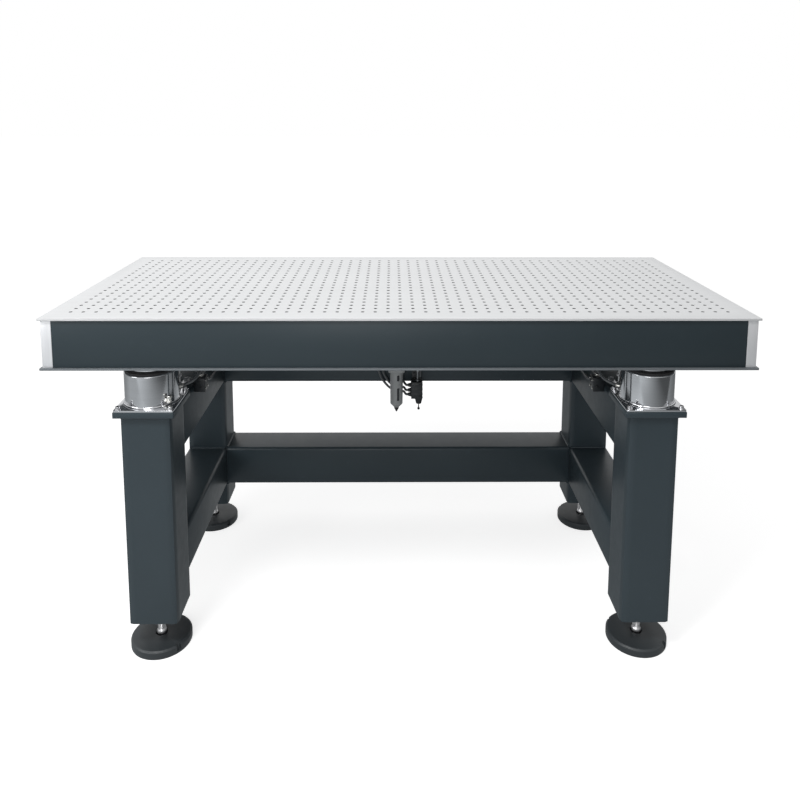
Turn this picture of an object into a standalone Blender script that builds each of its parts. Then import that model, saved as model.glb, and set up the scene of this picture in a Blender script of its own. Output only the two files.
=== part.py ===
"""Vibration isolation platform: a perforated honeycomb table top that floats on four air isolators.

The isolators stand on a welded frame of square steel tubes with four levelling feet. Three levelling valves
sense the height of the top, and a filter regulator on the rear stretcher feeds them with air.
Units are metres. X is the long side of the top, the front is -Y, and Z is up from the floor.
The origin is on the floor, under the middle of the top.
"""

import math

import bmesh
import bpy
from mathutils import Matrix, Vector

# Room left between two pieces that touch, and the depth that fused pieces sink into each other
GAP = 0.0003
WELD = 0.001

# How far a cutting tool stands out of the piece it cuts
TOOL_REACH = 0.020

# Table top
TOP_LENGTH = 1.390
TOP_WIDTH = 0.600
TOP_THICKNESS = 0.1025
SKIN_THICKNESS = 0.004
SKIN_CORNER = 0.003
SKIN_OVERHANG = 0.005
PANEL_THICKNESS = 0.003
POST_WIDTH = 0.020
POST_THICKNESS = 0.004
CORE_WALL = 0.003
CORE_CELL = 0.120
CORE_RIM = 0.012

# Frame of square tubes
FRAME_INSET_X = 0.142
FRAME_INSET_Y = 0.019
TUBE_SIZE = 0.100
TUBE_WALL = 0.004
TUBE_CORNER = 0.008
LEG_LENGTH = 0.443
LOWER_RAIL_HEIGHT = 0.129
UPPER_RAIL_DROP = 0.005
CAP_SIZE = 0.120
CAP_THICKNESS = 0.012
CAP_CORNER = 0.002
CAP_VENT_RADIUS = 0.012
FOOT_PLATE_THICKNESS = 0.010
WELD_NUT_FLATS = 0.027
WELD_NUT_HEIGHT = 0.010

# Levelling feet
DISC_RADIUS = 0.062
DISC_HEIGHT = 0.018
DISC_EDGE = 0.0035
SOCKET_CLEARANCE = 0.0015
SOCKET_DEPTH = 0.008
NOTCH_WIDTH = 0.009
NOTCH_DEPTH = 0.006
NOTCH_ANGLE = -40.0
LEG_CLEARANCE = 0.054
STUD_RADIUS = 0.008
STUD_CLEARANCE = 0.0006
STUD_RISE = 0.120
STUD_CHAMFER = 0.001
BALL_RADIUS = 0.0105
BALL_SEAT_RADIUS = 0.00525

# Air isolators
FLANGE_SIZE = 0.118
FLANGE_THICKNESS = 0.004
FLANGE_CORNER = 0.003
HOUSING_RADIUS = 0.0525
HOUSING_HEIGHT = 0.0665
HOUSING_WALL = 0.006
HOUSING_FLOOR = 0.006
HOUSING_LIP = 0.0025
RING_HEIGHT = 0.0045
RING_WIDTH = 0.018
PISTON_DISC_RADIUS = 0.045
PISTON_DISC_HEIGHT = 0.0135
PISTON_STEM_RADIUS = 0.025
PISTON_PLATE_RADIUS = 0.040
PISTON_PLATE_HEIGHT = 0.010
PISTON_PLATE_DEPTH = 0.048
PORT_RADIUS = 0.0065
PORT_REACH = 0.014
PORT_HEIGHT = 0.011

# Front levelling valves, on the inner faces of the upper side rails
VALVE_SIZE = Vector((0.024, 0.030, 0.031))
VALVE_SETBACK = 0.140
VALVE_SHAFT_RISE = 0.0085
VALVE_TOP_RISE = 0.017
SHAFT_RADIUS = 0.003
SHAFT_CLEARANCE = 0.0005
SHAFT_DEPTH = 0.014
LEVER_OFFSET = 0.019
LEVER_WIDTH = 0.012
LEVER_THICKNESS = 0.005
LEVER_REACH = 0.058
LEVER_HUB_RADIUS = 0.006
LEVER_EDGE = 0.0008
ROD_RADIUS = 0.003
ROD_BALL_RADIUS = 0.0055
ROD_PAD_RADIUS = 0.007
ROD_PAD_HEIGHT = 0.004
ROD_NUT_RADIUS = 0.006
ROD_NUT_HEIGHT = 0.007
ROD_NUT_RISE = 0.022

# Rear levelling valve and filter regulator, in front of the upper rear stretcher
REAR_VALVE_X = 0.0470
REAR_VALVE_WIDTH = 0.029
REAR_VALVE_DEPTH = 0.025
REAR_VALVE_HEIGHT = 0.044
REAR_VALVE_DROP = 0.085
VALVE_EDGE = 0.0012
NOSE_LENGTH = 0.016
NOSE_TIP_RADIUS = 0.0069
NOSE_ROOT_RADIUS = 0.0106
NOSE_OFFSET = 0.005
AIR_LINE_STANDOFF = 0.031
BRACKET_THICKNESS = 0.003
BRACKET_WIDTH = 0.0232
BRACKET_HEIGHT = 0.070
STANDOFF_WIDTH = 0.0174
PLUNGER_RADIUS = 0.0024
PLUNGER_CLEARANCE = 0.0006
PLUNGER_DEPTH = 0.030
PLUNGER_HEAD_RADIUS = 0.006
PLUNGER_OFFSET = 0.002
TOGGLE_BALL_RADIUS = 0.0034
TOGGLE_LENGTH = 0.014
TOGGLE_PIVOT_RADIUS = 0.0026
TOGGLE_PIVOT_RISE = 0.006
TOGGLE_CLEARANCE = 0.0004
FITTING_DROPS = (0.0112, 0.0246, 0.0360)
SUPPLY_OFFSET = Vector((0.0085, 0.0065, 0.0))
FILTER_X = -0.005
HEAD_WIDTH = 0.042
HEAD_DEPTH = 0.040
HEAD_HEIGHT = 0.038
HEAD_DROP = 0.058
HEAD_EDGE = 0.003
HEAD_BRACKET_WIDTH = 0.0336
HEAD_BRACKET_HEIGHT = 0.0152
BOWL_RADIUS = 0.0176
BOWL_TOE_RADIUS = 0.0158
BOWL_LENGTH = 0.086
BOWL_CONE_LENGTH = 0.012
COLLAR_HEIGHT = 0.008
COLLAR_STEP = 0.0008
DRAIN_RADIUS = 0.0055
DRAIN_RIM = 0.002
DRAIN_LENGTH = 0.0108
DRAIN_TIP_RADIUS = 0.0012
KNOB_RADIUS = 0.015
KNOB_HEIGHT = 0.030
KNOB_EDGE = 0.002

# Air hoses
HOSE_RADIUS = 0.003
FITTING_RADIUS = 0.0050
FITTING_LENGTH = 0.006
HOSE_TURN = 14.0
HOSE_STEP = 0.060

# Facets round a full turn
ROUND = 32
SMALL_ROUND = 16

# Places worked out from the sizes
FRAME_LENGTH = TOP_LENGTH - 2 * FRAME_INSET_X
FRAME_WIDTH = TOP_WIDTH - 2 * FRAME_INSET_Y
LEG_X = (FRAME_LENGTH - TUBE_SIZE) / 2
LEG_Y = (FRAME_WIDTH - TUBE_SIZE) / 2
INNER_X = LEG_X - TUBE_SIZE / 2
INNER_Y = LEG_Y - TUBE_SIZE / 2
LEG_BOTTOM = DISC_HEIGHT + LEG_CLEARANCE
LEG_TOP = LEG_BOTTOM + LEG_LENGTH
CAP_TOP = LEG_TOP + CAP_THICKNESS
FLANGE_TOP = CAP_TOP + FLANGE_THICKNESS
HOUSING_TOP = FLANGE_TOP + HOUSING_HEIGHT
RING_TOP = HOUSING_TOP + RING_HEIGHT
TOP_UNDERSIDE = RING_TOP + PISTON_DISC_HEIGHT
TOP_SURFACE = TOP_UNDERSIDE + TOP_THICKNESS
UPPER_RAIL_TOP = LEG_TOP - UPPER_RAIL_DROP
AIR_LINE_Y = INNER_Y - AIR_LINE_STANDOFF
VALVE_SHAFT_Y = VALVE_SETBACK - LEG_Y
PORT_Z = FLANGE_TOP + PORT_HEIGHT

CORNERS = {
    "front_left": (-1, -1),
    "front_right": (1, -1),
    "rear_right": (1, 1),
    "rear_left": (-1, 1),
}
SIDES = {"left": -1, "right": 1}


def clear_scene():
    for old in list(bpy.data.objects):
        bpy.data.objects.remove(old, do_unlink=True)


def new_collection(name):
    collection = bpy.data.collections.new(name)
    bpy.context.scene.collection.children.link(collection)
    return collection


def new_material(name, colour, metallic, roughness):
    material = bpy.data.materials.new(name)
    material.use_nodes = True
    shader = material.node_tree.nodes["Principled BSDF"]
    shader.inputs["Base Color"].default_value = (*colour, 1.0)
    shader.inputs["Metallic"].default_value = metallic
    shader.inputs["Roughness"].default_value = roughness
    material.diffuse_color = (*colour, 1.0)
    return material


clear_scene()
PARTS = new_collection("vibration_isolation_platform")
CUTTERS = new_collection("cutters")

SATIN_STEEL = new_material("satin stainless steel", (0.62, 0.63, 0.63), 0.9, 0.38)
POST_STEEL = new_material("brushed corner post", (0.70, 0.71, 0.72), 0.9, 0.30)
CORE_METAL = new_material("core foil", (0.55, 0.56, 0.57), 0.8, 0.45)
PANEL_PAINT = new_material("charcoal panel", (0.052, 0.066, 0.072), 0.0, 0.50)
FRAME_PAINT = new_material("charcoal frame paint", (0.050, 0.060, 0.066), 0.0, 0.52)
FOOT_PAINT = new_material("black cast foot", (0.035, 0.038, 0.042), 0.0, 0.55)
POLISHED = new_material("polished isolator steel", (0.55, 0.55, 0.57), 1.0, 0.18)
RUBBER = new_material("black rubber", (0.012, 0.012, 0.013), 0.0, 0.70)
ZINC = new_material("zinc plated steel", (0.60, 0.60, 0.60), 1.0, 0.30)
VALVE_BLACK = new_material("black valve body", (0.016, 0.017, 0.019), 0.2, 0.45)
BOWL_GREY = new_material("grey bowl guard", (0.17, 0.18, 0.19), 0.4, 0.45)
HOSE_GREY = new_material("grey air hose", (0.060, 0.064, 0.070), 0.0, 0.40)


def place(name, mesh, material, location=(0, 0, 0), turn=0.0):
    """A named object of this mesh, turned about Z by an angle in degrees."""
    obj = bpy.data.objects.new(name, mesh)
    obj.location = location
    obj.rotation_euler = (0, 0, math.radians(turn))
    PARTS.objects.link(obj)
    if material and not mesh.materials:
        mesh.materials.append(material)
    return obj


def helper(obj):
    """Keeps a piece that only shapes another one out of the model."""
    for collection in list(obj.users_collection):
        collection.objects.unlink(obj)
    CUTTERS.objects.link(obj)
    obj.hide_render = True
    obj.display_type = "WIRE"
    return obj


def smooth(obj, angle=35.0):
    obj.data.shade_smooth()
    obj.data.set_sharp_from_angle(angle=math.radians(angle))
    return obj


def box(name, low, high, material, bevel=0.0, segments=2):
    """A block between two corners, with its long edges rounded where a bevel is given."""
    low, high = Vector(low), Vector(high)
    bm = bmesh.new()
    bmesh.ops.create_cube(bm, size=1.0, matrix=Matrix.Diagonal((*(high - low), 1.0)))
    mesh = bpy.data.meshes.new(name)
    bm.to_mesh(mesh)
    bm.free()
    obj = place(name, mesh, material, (low + high) / 2)
    if bevel:
        edge = obj.modifiers.new("rounded edges", "BEVEL")
        edge.width = bevel
        edge.segments = segments
        edge.limit_method = "NONE"
    return obj


def cylinder(name, radius, start, end, material, facets=SMALL_ROUND, end_radius=None):
    """A round bar, or a cone where the end has its own radius, from one point to another."""
    start, end = Vector(start), Vector(end)
    along = end - start
    bm = bmesh.new()
    bmesh.ops.create_cone(
        bm,
        cap_ends=True,
        segments=facets,
        radius1=radius,
        radius2=radius if end_radius is None else end_radius,
        depth=along.length,
    )
    mesh = bpy.data.meshes.new(name)
    bm.to_mesh(mesh)
    bm.free()
    obj = place(name, mesh, material, (start + end) / 2)
    obj.rotation_euler = along.to_track_quat("Z", "Y").to_euler()
    return smooth(obj)


def turned(name, profile, material, location=(0, 0, 0), facets=ROUND, closed=False):
    """A turned piece. The profile lists radius and height, down the outer side from top to bottom."""
    points = [(radius, 0.0, height) for radius, height in profile]
    edges = [(i, i + 1) for i in range(len(points) - 1)]
    if closed:
        edges.append((len(points) - 1, 0))
    mesh = bpy.data.meshes.new(name)
    mesh.from_pydata(points, edges, [])
    obj = place(name, mesh, material, location)
    lathe = obj.modifiers.new("lathe", "SCREW")
    lathe.axis = "Z"
    lathe.angle = math.tau
    lathe.steps = facets
    lathe.render_steps = facets
    lathe.use_merge_vertices = True
    lathe.merge_threshold = 0.00001
    lathe.use_smooth_shade = True
    return obj


def arc(centre, radius, start, end, steps):
    """Points on an arc between two angles in degrees."""
    angles = [math.radians(start + (end - start) * i / steps) for i in range(steps + 1)]
    return [(centre[0] + radius * math.cos(a), centre[1] + radius * math.sin(a)) for a in angles]


def rectangle(width, depth):
    x, y = width / 2, depth / 2
    return [(x, y), (-x, y), (-x, -y), (x, -y)]


def rounded_outline(width, depth, corner, steps=2):
    """A rectangle about the origin with round corners, counter-clockwise."""
    x, y = width / 2 - corner, depth / 2 - corner
    points = []
    for centre, start in (((x, y), 0), ((-x, y), 90), ((-x, -y), 180), ((x, -y), 270)):
        points += arc(centre, corner, start, start + 90, steps)
    return points


def plate(name, outlines, low, high, material):
    """A flat piece from 2D outlines, the first one outside and the others holes, between two heights."""
    curve = bpy.data.curves.new(name, "CURVE")
    curve.dimensions = "2D"
    curve.fill_mode = "BOTH"
    curve.extrude = (high - low) / 2
    for outline in outlines:
        spline = curve.splines.new("POLY")
        spline.points.add(len(outline) - 1)
        for point, (x, y) in zip(spline.points, outline):
            point.co = (x, y, 0.0, 1.0)
        spline.use_cyclic_u = True
    obj = bpy.data.objects.new(name, curve)
    obj.location = (0, 0, (low + high) / 2)
    PARTS.objects.link(obj)
    return as_mesh(obj, material)


def as_mesh(obj, material):
    """Replaces a curve, or a piece with modifiers, by a closed mesh object in the same place."""
    bpy.context.view_layer.update()
    evaluated = obj.evaluated_get(bpy.context.evaluated_depsgraph_get())
    mesh = bpy.data.meshes.new_from_object(evaluated)
    bm = bmesh.new()
    bm.from_mesh(mesh)
    bmesh.ops.remove_doubles(bm, verts=bm.verts, dist=0.00001)
    bmesh.ops.recalc_face_normals(bm, faces=bm.faces)
    bm.to_mesh(mesh)
    bm.free()
    name, matrix = obj.name, obj.matrix_world.copy()
    bpy.data.objects.remove(obj)
    mesh.name = name
    mesh.materials.clear()
    made = place(name, mesh, material)
    made.matrix_world = matrix
    return made


def boolean(obj, other, operation):
    step = obj.modifiers.new(other.name, "BOOLEAN")
    step.operation = operation
    step.solver = "EXACT"
    step.object = helper(other)


def move_origin(obj, point):
    """Puts a piece's origin on its joint's axis and leaves the piece where it is."""
    shift = obj.location - Vector(point)
    obj.data.transform(Matrix.Translation(shift))
    obj.location = point


def join(obj, *others):
    for other in others:
        boolean(obj, other, "UNION")
    return obj


def cut(obj, *others):
    for other in others:
        boolean(obj, other, "DIFFERENCE")
    return obj


def repeat(obj, material, places):
    """Finished copies of one piece that share its mesh. Each place is a name, a location and a turn."""
    finished = as_mesh(obj, material)
    mesh = finished.data
    mesh.transform(finished.matrix_world)
    bpy.data.objects.remove(finished)
    return [smooth(place(name, mesh, material, location, turn)) for name, location, turn in places]


def at_corners(prefix, turned_ports=False):
    """Name, place and turn of a piece at each leg. A port that points inwards turns with the corner."""
    places = []
    for quarter, (corner, (x, y)) in enumerate(CORNERS.items()):
        turn = 90.0 * quarter if turned_ports else 0.0
        places.append((f"{prefix}_{corner}", (x * LEG_X, y * LEG_Y, 0.0), turn))
    return places


def table_skins():
    outline = rounded_outline(TOP_LENGTH, TOP_WIDTH, SKIN_CORNER)
    low = TOP_SURFACE - SKIN_THICKNESS
    plate("top_skin", [outline], low, TOP_SURFACE, SATIN_STEEL)
    plate("bottom_skin", [outline], TOP_UNDERSIDE, TOP_UNDERSIDE + SKIN_THICKNESS, SATIN_STEEL)


def hexagon(centre, across_flats):
    radius = across_flats / math.sqrt(3)
    return arc(centre, radius, 0, 300, 5)


def honeycomb_core():
    """One block of hexagonal cells between the skins, with a solid rim along the panels."""
    length = TOP_LENGTH - 2 * (SKIN_OVERHANG + POST_THICKNESS + GAP)
    width = TOP_WIDTH - 2 * (SKIN_OVERHANG + POST_THICKNESS + GAP)
    step_x = CORE_CELL * math.sqrt(3) / 2
    reach_x = length / 2 - CORE_RIM - CORE_CELL / math.sqrt(3)
    reach_y = width / 2 - CORE_RIM - CORE_CELL / 2
    cells = []
    columns = int(reach_x // step_x)
    for column in range(-columns, columns + 1):
        shift = CORE_CELL / 2 if column % 2 else 0.0
        rows = int((reach_y + shift) // CORE_CELL) + 1
        for row in range(-rows, rows + 1):
            y = row * CORE_CELL + shift
            if abs(y) <= reach_y:
                cells.append(hexagon((column * step_x, y), CORE_CELL - CORE_WALL))
    low = TOP_UNDERSIDE + SKIN_THICKNESS + GAP
    high = TOP_SURFACE - SKIN_THICKNESS - GAP
    plate("honeycomb_core", [rectangle(length, width), *cells], low, high, CORE_METAL)


def side_panels():
    low = TOP_UNDERSIDE + SKIN_THICKNESS + GAP
    high = TOP_SURFACE - SKIN_THICKNESS - GAP
    face_x = TOP_LENGTH / 2 - SKIN_OVERHANG
    face_y = TOP_WIDTH / 2 - SKIN_OVERHANG
    end_x = face_x - POST_WIDTH - GAP
    end_y = face_y - POST_WIDTH - GAP
    for name, side in (("front", -1), ("rear", 1)):
        edges = sorted((side * face_y, side * (face_y - PANEL_THICKNESS)))
        box(f"side_panel_{name}", (-end_x, edges[0], low), (end_x, edges[1], high), PANEL_PAINT)
    for name, side in SIDES.items():
        edges = sorted((side * face_x, side * (face_x - PANEL_THICKNESS)))
        box(f"side_panel_{name}", (edges[0], -end_y, low), (edges[1], end_y, high), PANEL_PAINT)


def corner_posts():
    """Bright angle sections that close the corners between the panels."""
    low = TOP_UNDERSIDE + SKIN_THICKNESS + GAP
    high = TOP_SURFACE - SKIN_THICKNESS - GAP
    angle = [
        (0, 0),
        (POST_WIDTH, 0),
        (POST_WIDTH, POST_THICKNESS),
        (POST_THICKNESS, POST_THICKNESS),
        (POST_THICKNESS, POST_WIDTH),
        (0, POST_WIDTH),
    ]
    post = plate("corner_post", [angle], low, high, POST_STEEL)
    face_x = TOP_LENGTH / 2 - SKIN_OVERHANG
    face_y = TOP_WIDTH / 2 - SKIN_OVERHANG
    places = [
        (f"corner_post_{corner}", (x * face_x, y * face_y, 0.0), 90.0 * quarter)
        for quarter, (corner, (x, y)) in enumerate(CORNERS.items())
    ]
    repeat(post, POST_STEEL, places)


def square_tube(name, length):
    """A hollow tube along Z from the origin, with open ends."""
    outside = rounded_outline(TUBE_SIZE, TUBE_SIZE, TUBE_CORNER)
    inside_size = TUBE_SIZE - 2 * TUBE_WALL
    inside = rounded_outline(inside_size, inside_size, TUBE_CORNER - TUBE_WALL)
    return plate(name, [outside, inside], 0.0, length, FRAME_PAINT)


def legs():
    """Each leg is a tube with a cap plate welded on top and a threaded plate and nut in its lower end."""
    leg = square_tube("leg", LEG_LENGTH)
    leg.location.z += LEG_BOTTOM
    cap_outline = rounded_outline(CAP_SIZE, CAP_SIZE, CAP_CORNER, 1)
    cap = plate("leg_cap", [cap_outline], LEG_TOP - WELD, CAP_TOP - GAP, FRAME_PAINT)
    fill = TUBE_SIZE / 2 - TUBE_WALL + WELD
    sole = box(
        "leg_sole",
        (-fill, -fill, LEG_BOTTOM),
        (fill, fill, LEG_BOTTOM + FOOT_PLATE_THICKNESS),
        FRAME_PAINT,
    )
    nut = cylinder(
        "leg_weld_nut",
        WELD_NUT_FLATS / math.sqrt(3),
        (0, 0, LEG_BOTTOM - WELD_NUT_HEIGHT),
        (0, 0, LEG_BOTTOM + WELD),
        FRAME_PAINT,
        6,
    )
    bore = cylinder(
        "leg_stud_bore",
        STUD_RADIUS + STUD_CLEARANCE,
        (0, 0, LEG_BOTTOM - WELD_NUT_HEIGHT - TOOL_REACH),
        (0, 0, LEG_BOTTOM + FOOT_PLATE_THICKNESS + TOOL_REACH),
        FRAME_PAINT,
    )
    vent = cylinder(
        "leg_cap_vent",
        CAP_VENT_RADIUS,
        (0, 0, LEG_TOP - TOOL_REACH),
        (0, 0, CAP_TOP + TOOL_REACH),
        FRAME_PAINT,
    )
    join(leg, cap, sole, nut)
    cut(leg, bore, vent)
    repeat(leg, FRAME_PAINT, at_corners("leg"))


def rail(name, start, end):
    """A tube between two points that stops short of what it is welded to."""
    start, end = Vector(start), Vector(end)
    along = (end - start).normalized()
    obj = square_tube(name, (end - start).length - 2 * GAP)
    turn = along.to_track_quat("Z", "Y").to_matrix().to_4x4()
    obj.matrix_world = Matrix.Translation((start + end) / 2) @ turn
    return smooth(obj, 50)


def rails():
    lower = LOWER_RAIL_HEIGHT + TUBE_SIZE / 2
    upper = UPPER_RAIL_TOP - TUBE_SIZE / 2
    for side, x in SIDES.items():
        rail(f"lower_side_rail_{side}", (x * LEG_X, -INNER_Y, lower), (x * LEG_X, INNER_Y, lower))
        rail(f"upper_side_rail_{side}", (x * LEG_X, -INNER_Y, upper), (x * LEG_X, INNER_Y, upper))
    rail("lower_rear_stretcher", (-INNER_X, LEG_Y, lower), (INNER_X, LEG_Y, lower))
    rail("upper_rear_stretcher", (-INNER_X, LEG_Y, upper), (INNER_X, LEG_Y, upper))


def isolator_housings():
    """A polished cup on a square flange, open at the top, with an air port towards the table's middle."""
    inner = HOUSING_RADIUS - HOUSING_WALL
    profile = [
        (0, FLANGE_TOP + HOUSING_FLOOR),
        (inner, FLANGE_TOP + HOUSING_FLOOR),
        (inner, HOUSING_TOP - GAP),
        (HOUSING_RADIUS - HOUSING_LIP / 2, HOUSING_TOP - GAP),
        (HOUSING_RADIUS, HOUSING_TOP - HOUSING_LIP),
        (HOUSING_RADIUS, FLANGE_TOP + HOUSING_LIP),
        (HOUSING_RADIUS + HOUSING_LIP / 3, FLANGE_TOP - FLANGE_THICKNESS / 2),
        (0, FLANGE_TOP - FLANGE_THICKNESS / 2),
    ]
    cup = turned("isolator_cup", profile, POLISHED)
    flange_outline = rounded_outline(FLANGE_SIZE, FLANGE_SIZE, FLANGE_CORNER, 1)
    flange = plate("isolator_flange", [flange_outline], CAP_TOP, FLANGE_TOP, POLISHED)
    toward_middle = Vector((1, 1, 0)).normalized()
    port_start = toward_middle * (HOUSING_RADIUS - HOUSING_WALL / 2) + Vector((0, 0, PORT_Z))
    port_end = toward_middle * (HOUSING_RADIUS + PORT_REACH) + Vector((0, 0, PORT_Z))
    port = cylinder("isolator_port", PORT_RADIUS, port_start, port_end, POLISHED, 8)
    join(cup, flange, port)
    repeat(cup, POLISHED, at_corners("isolator_housing", turned_ports=True))


def isolator_stop_rings():
    """Rubber rings on the cups, where the pistons rest while there is no air."""
    outer = HOUSING_RADIUS - HOUSING_LIP / 2
    inner = outer - RING_WIDTH
    profile = [
        (inner, RING_TOP - GAP),
        (outer - HOUSING_LIP / 2, RING_TOP - GAP),
        (outer, RING_TOP - HOUSING_LIP),
        (outer, HOUSING_TOP),
        (inner, HOUSING_TOP),
    ]
    ring = turned("isolator_stop_ring", profile, RUBBER, closed=True)
    repeat(ring, RUBBER, at_corners("isolator_stop_ring"))


def isolator_pistons():
    """A disc under the table top, on a stem with a piston plate inside the cup."""
    plate_top = RING_TOP - PISTON_PLATE_DEPTH
    plate_bottom = plate_top - PISTON_PLATE_HEIGHT
    profile = [
        (0, TOP_UNDERSIDE - GAP),
        (PISTON_DISC_RADIUS, TOP_UNDERSIDE - GAP),
        (PISTON_DISC_RADIUS, RING_TOP),
        (PISTON_STEM_RADIUS, RING_TOP),
        (PISTON_STEM_RADIUS, plate_top),
        (PISTON_PLATE_RADIUS, plate_top),
        (PISTON_PLATE_RADIUS, plate_bottom),
        (0, plate_bottom),
    ]
    piston = turned("isolator_piston", profile, POLISHED)
    repeat(piston, POLISHED, at_corners("isolator_piston"))


def foot_discs():
    """Cast discs with a ball socket in the middle and two notches in the rim for a hook spanner."""
    profile = [
        (0, DISC_HEIGHT - SOCKET_DEPTH),
        (BALL_RADIUS + SOCKET_CLEARANCE, DISC_HEIGHT - SOCKET_DEPTH),
        (BALL_RADIUS + SOCKET_CLEARANCE, DISC_HEIGHT),
        (DISC_RADIUS - DISC_EDGE, DISC_HEIGHT),
        (DISC_RADIUS, DISC_HEIGHT - DISC_EDGE),
        (DISC_RADIUS, DISC_EDGE / 3),
        (DISC_RADIUS - DISC_EDGE / 3, 0),
        (0, 0),
    ]
    disc = turned("foot_disc", profile, FOOT_PAINT)
    for index in range(2):
        angle = math.radians(NOTCH_ANGLE + 180.0 * index)
        notch = box(
            f"foot_notch_{index}",
            (-NOTCH_DEPTH, -NOTCH_WIDTH / 2, DISC_HEIGHT / 2 - DISC_EDGE),
            (NOTCH_DEPTH, NOTCH_WIDTH / 2, DISC_HEIGHT + DISC_EDGE),
            FOOT_PAINT,
        )
        notch.location.x = DISC_RADIUS * math.cos(angle)
        notch.location.y = DISC_RADIUS * math.sin(angle)
        notch.rotation_euler.z = angle
        cut(disc, notch)
    repeat(disc, FOOT_PAINT, at_corners("foot_disc"))


def foot_studs():
    """Threaded studs with a ball end in the disc. They rise through the nut into the leg."""
    seat = DISC_HEIGHT - SOCKET_DEPTH + GAP
    neck_angle = math.degrees(math.acos(min(STUD_RADIUS / BALL_RADIUS, 1.0)))
    profile = [
        (0, STUD_RISE),
        (STUD_RADIUS - STUD_CHAMFER, STUD_RISE),
        (STUD_RADIUS, STUD_RISE - STUD_CHAMFER),
        *arc((0, seat + BALL_RADIUS), BALL_RADIUS, neck_angle, -30, 4),
        (BALL_SEAT_RADIUS, seat),
        (0, seat),
    ]
    stud = turned("foot_stud", profile, ZINC, facets=SMALL_ROUND)
    repeat(stud, ZINC, at_corners("foot_stud"))


def front_valves():
    """A valve block on each side rail, with a lever on its shaft and a rod from the lever to the top."""
    shaft_z = UPPER_RAIL_TOP + VALVE_SHAFT_RISE
    body_top = UPPER_RAIL_TOP + VALVE_TOP_RISE
    for side, x in SIDES.items():
        near = x * (INNER_X - GAP)
        far = x * (INNER_X - GAP - VALVE_SIZE.x)
        front = VALVE_SHAFT_Y - VALVE_SIZE.y / 2
        body = box(
            f"valve_body_front_{side}",
            (min(near, far), front, body_top - VALVE_SIZE.z),
            (max(near, far), front + VALVE_SIZE.y, body_top),
            VALVE_BLACK,
            VALVE_EDGE,
            1,
        )
        mouth = (near + x * TOOL_REACH, VALVE_SHAFT_Y, shaft_z)
        inside = (near - x * SHAFT_DEPTH, VALVE_SHAFT_Y, shaft_z)
        bore_radius = SHAFT_RADIUS + SHAFT_CLEARANCE
        bore = cylinder(f"shaft_bore_{side}", bore_radius, inside, mouth, VALVE_BLACK, 12)
        cut(body, bore)
        front_valve_lever(side, x, near, shaft_z)
        front_valve_rod(side, x, shaft_z)


def front_valve_lever(side, x, body_face, shaft_z):
    middle = x * (INNER_X + LEVER_OFFSET)
    outer = middle + x * LEVER_WIDTH / 2
    inner = middle - x * LEVER_WIDTH / 2
    shaft_end = body_face - x * (SHAFT_DEPTH - SHAFT_CLEARANCE)
    low = shaft_z - LEVER_THICKNESS / 2
    lever = box(
        f"valve_lever_front_{side}",
        (min(inner, outer), VALVE_SHAFT_Y - LEVER_REACH - LEVER_WIDTH / 2, low),
        (max(inner, outer), VALVE_SHAFT_Y, low + LEVER_THICKNESS),
        ZINC,
        LEVER_EDGE,
        1,
    )
    hub_start = (inner, VALVE_SHAFT_Y, shaft_z)
    hub_end = (outer, VALVE_SHAFT_Y, shaft_z)
    hub = cylinder(f"lever_hub_{side}", LEVER_HUB_RADIUS, hub_start, hub_end, ZINC)
    shaft_start = (shaft_end, VALVE_SHAFT_Y, shaft_z)
    shaft = cylinder(f"lever_shaft_{side}", SHAFT_RADIUS, shaft_start, hub_end, ZINC, 12)
    move_origin(lever, (middle, VALVE_SHAFT_Y, shaft_z))
    join(lever, hub, shaft)


def front_valve_rod(side, x, shaft_z):
    foot = shaft_z + LEVER_THICKNESS / 2 + GAP
    head = TOP_UNDERSIDE - GAP
    ball_centre = foot + ROD_BALL_RADIUS
    ball_arc = arc((0, ball_centre), ROD_BALL_RADIUS, 55, -90, 6)
    nut_low = ball_centre + ROD_NUT_RISE
    nut_high = nut_low + ROD_NUT_HEIGHT
    profile = [
        (0, head),
        (ROD_PAD_RADIUS, head),
        (ROD_PAD_RADIUS, head - ROD_PAD_HEIGHT),
        (ROD_RADIUS, head - ROD_PAD_HEIGHT),
        (ROD_RADIUS, nut_high),
        (ROD_NUT_RADIUS, nut_high),
        (ROD_NUT_RADIUS, nut_low),
        (ROD_RADIUS, nut_low),
        *[(max(radius, 0.0), height) for radius, height in ball_arc[:-1]],
        (0, foot),
    ]
    location = (x * (INNER_X + LEVER_OFFSET), VALVE_SHAFT_Y - LEVER_REACH, 0.0)
    turned(f"valve_rod_front_{side}", profile, ZINC, location, 12)


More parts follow.
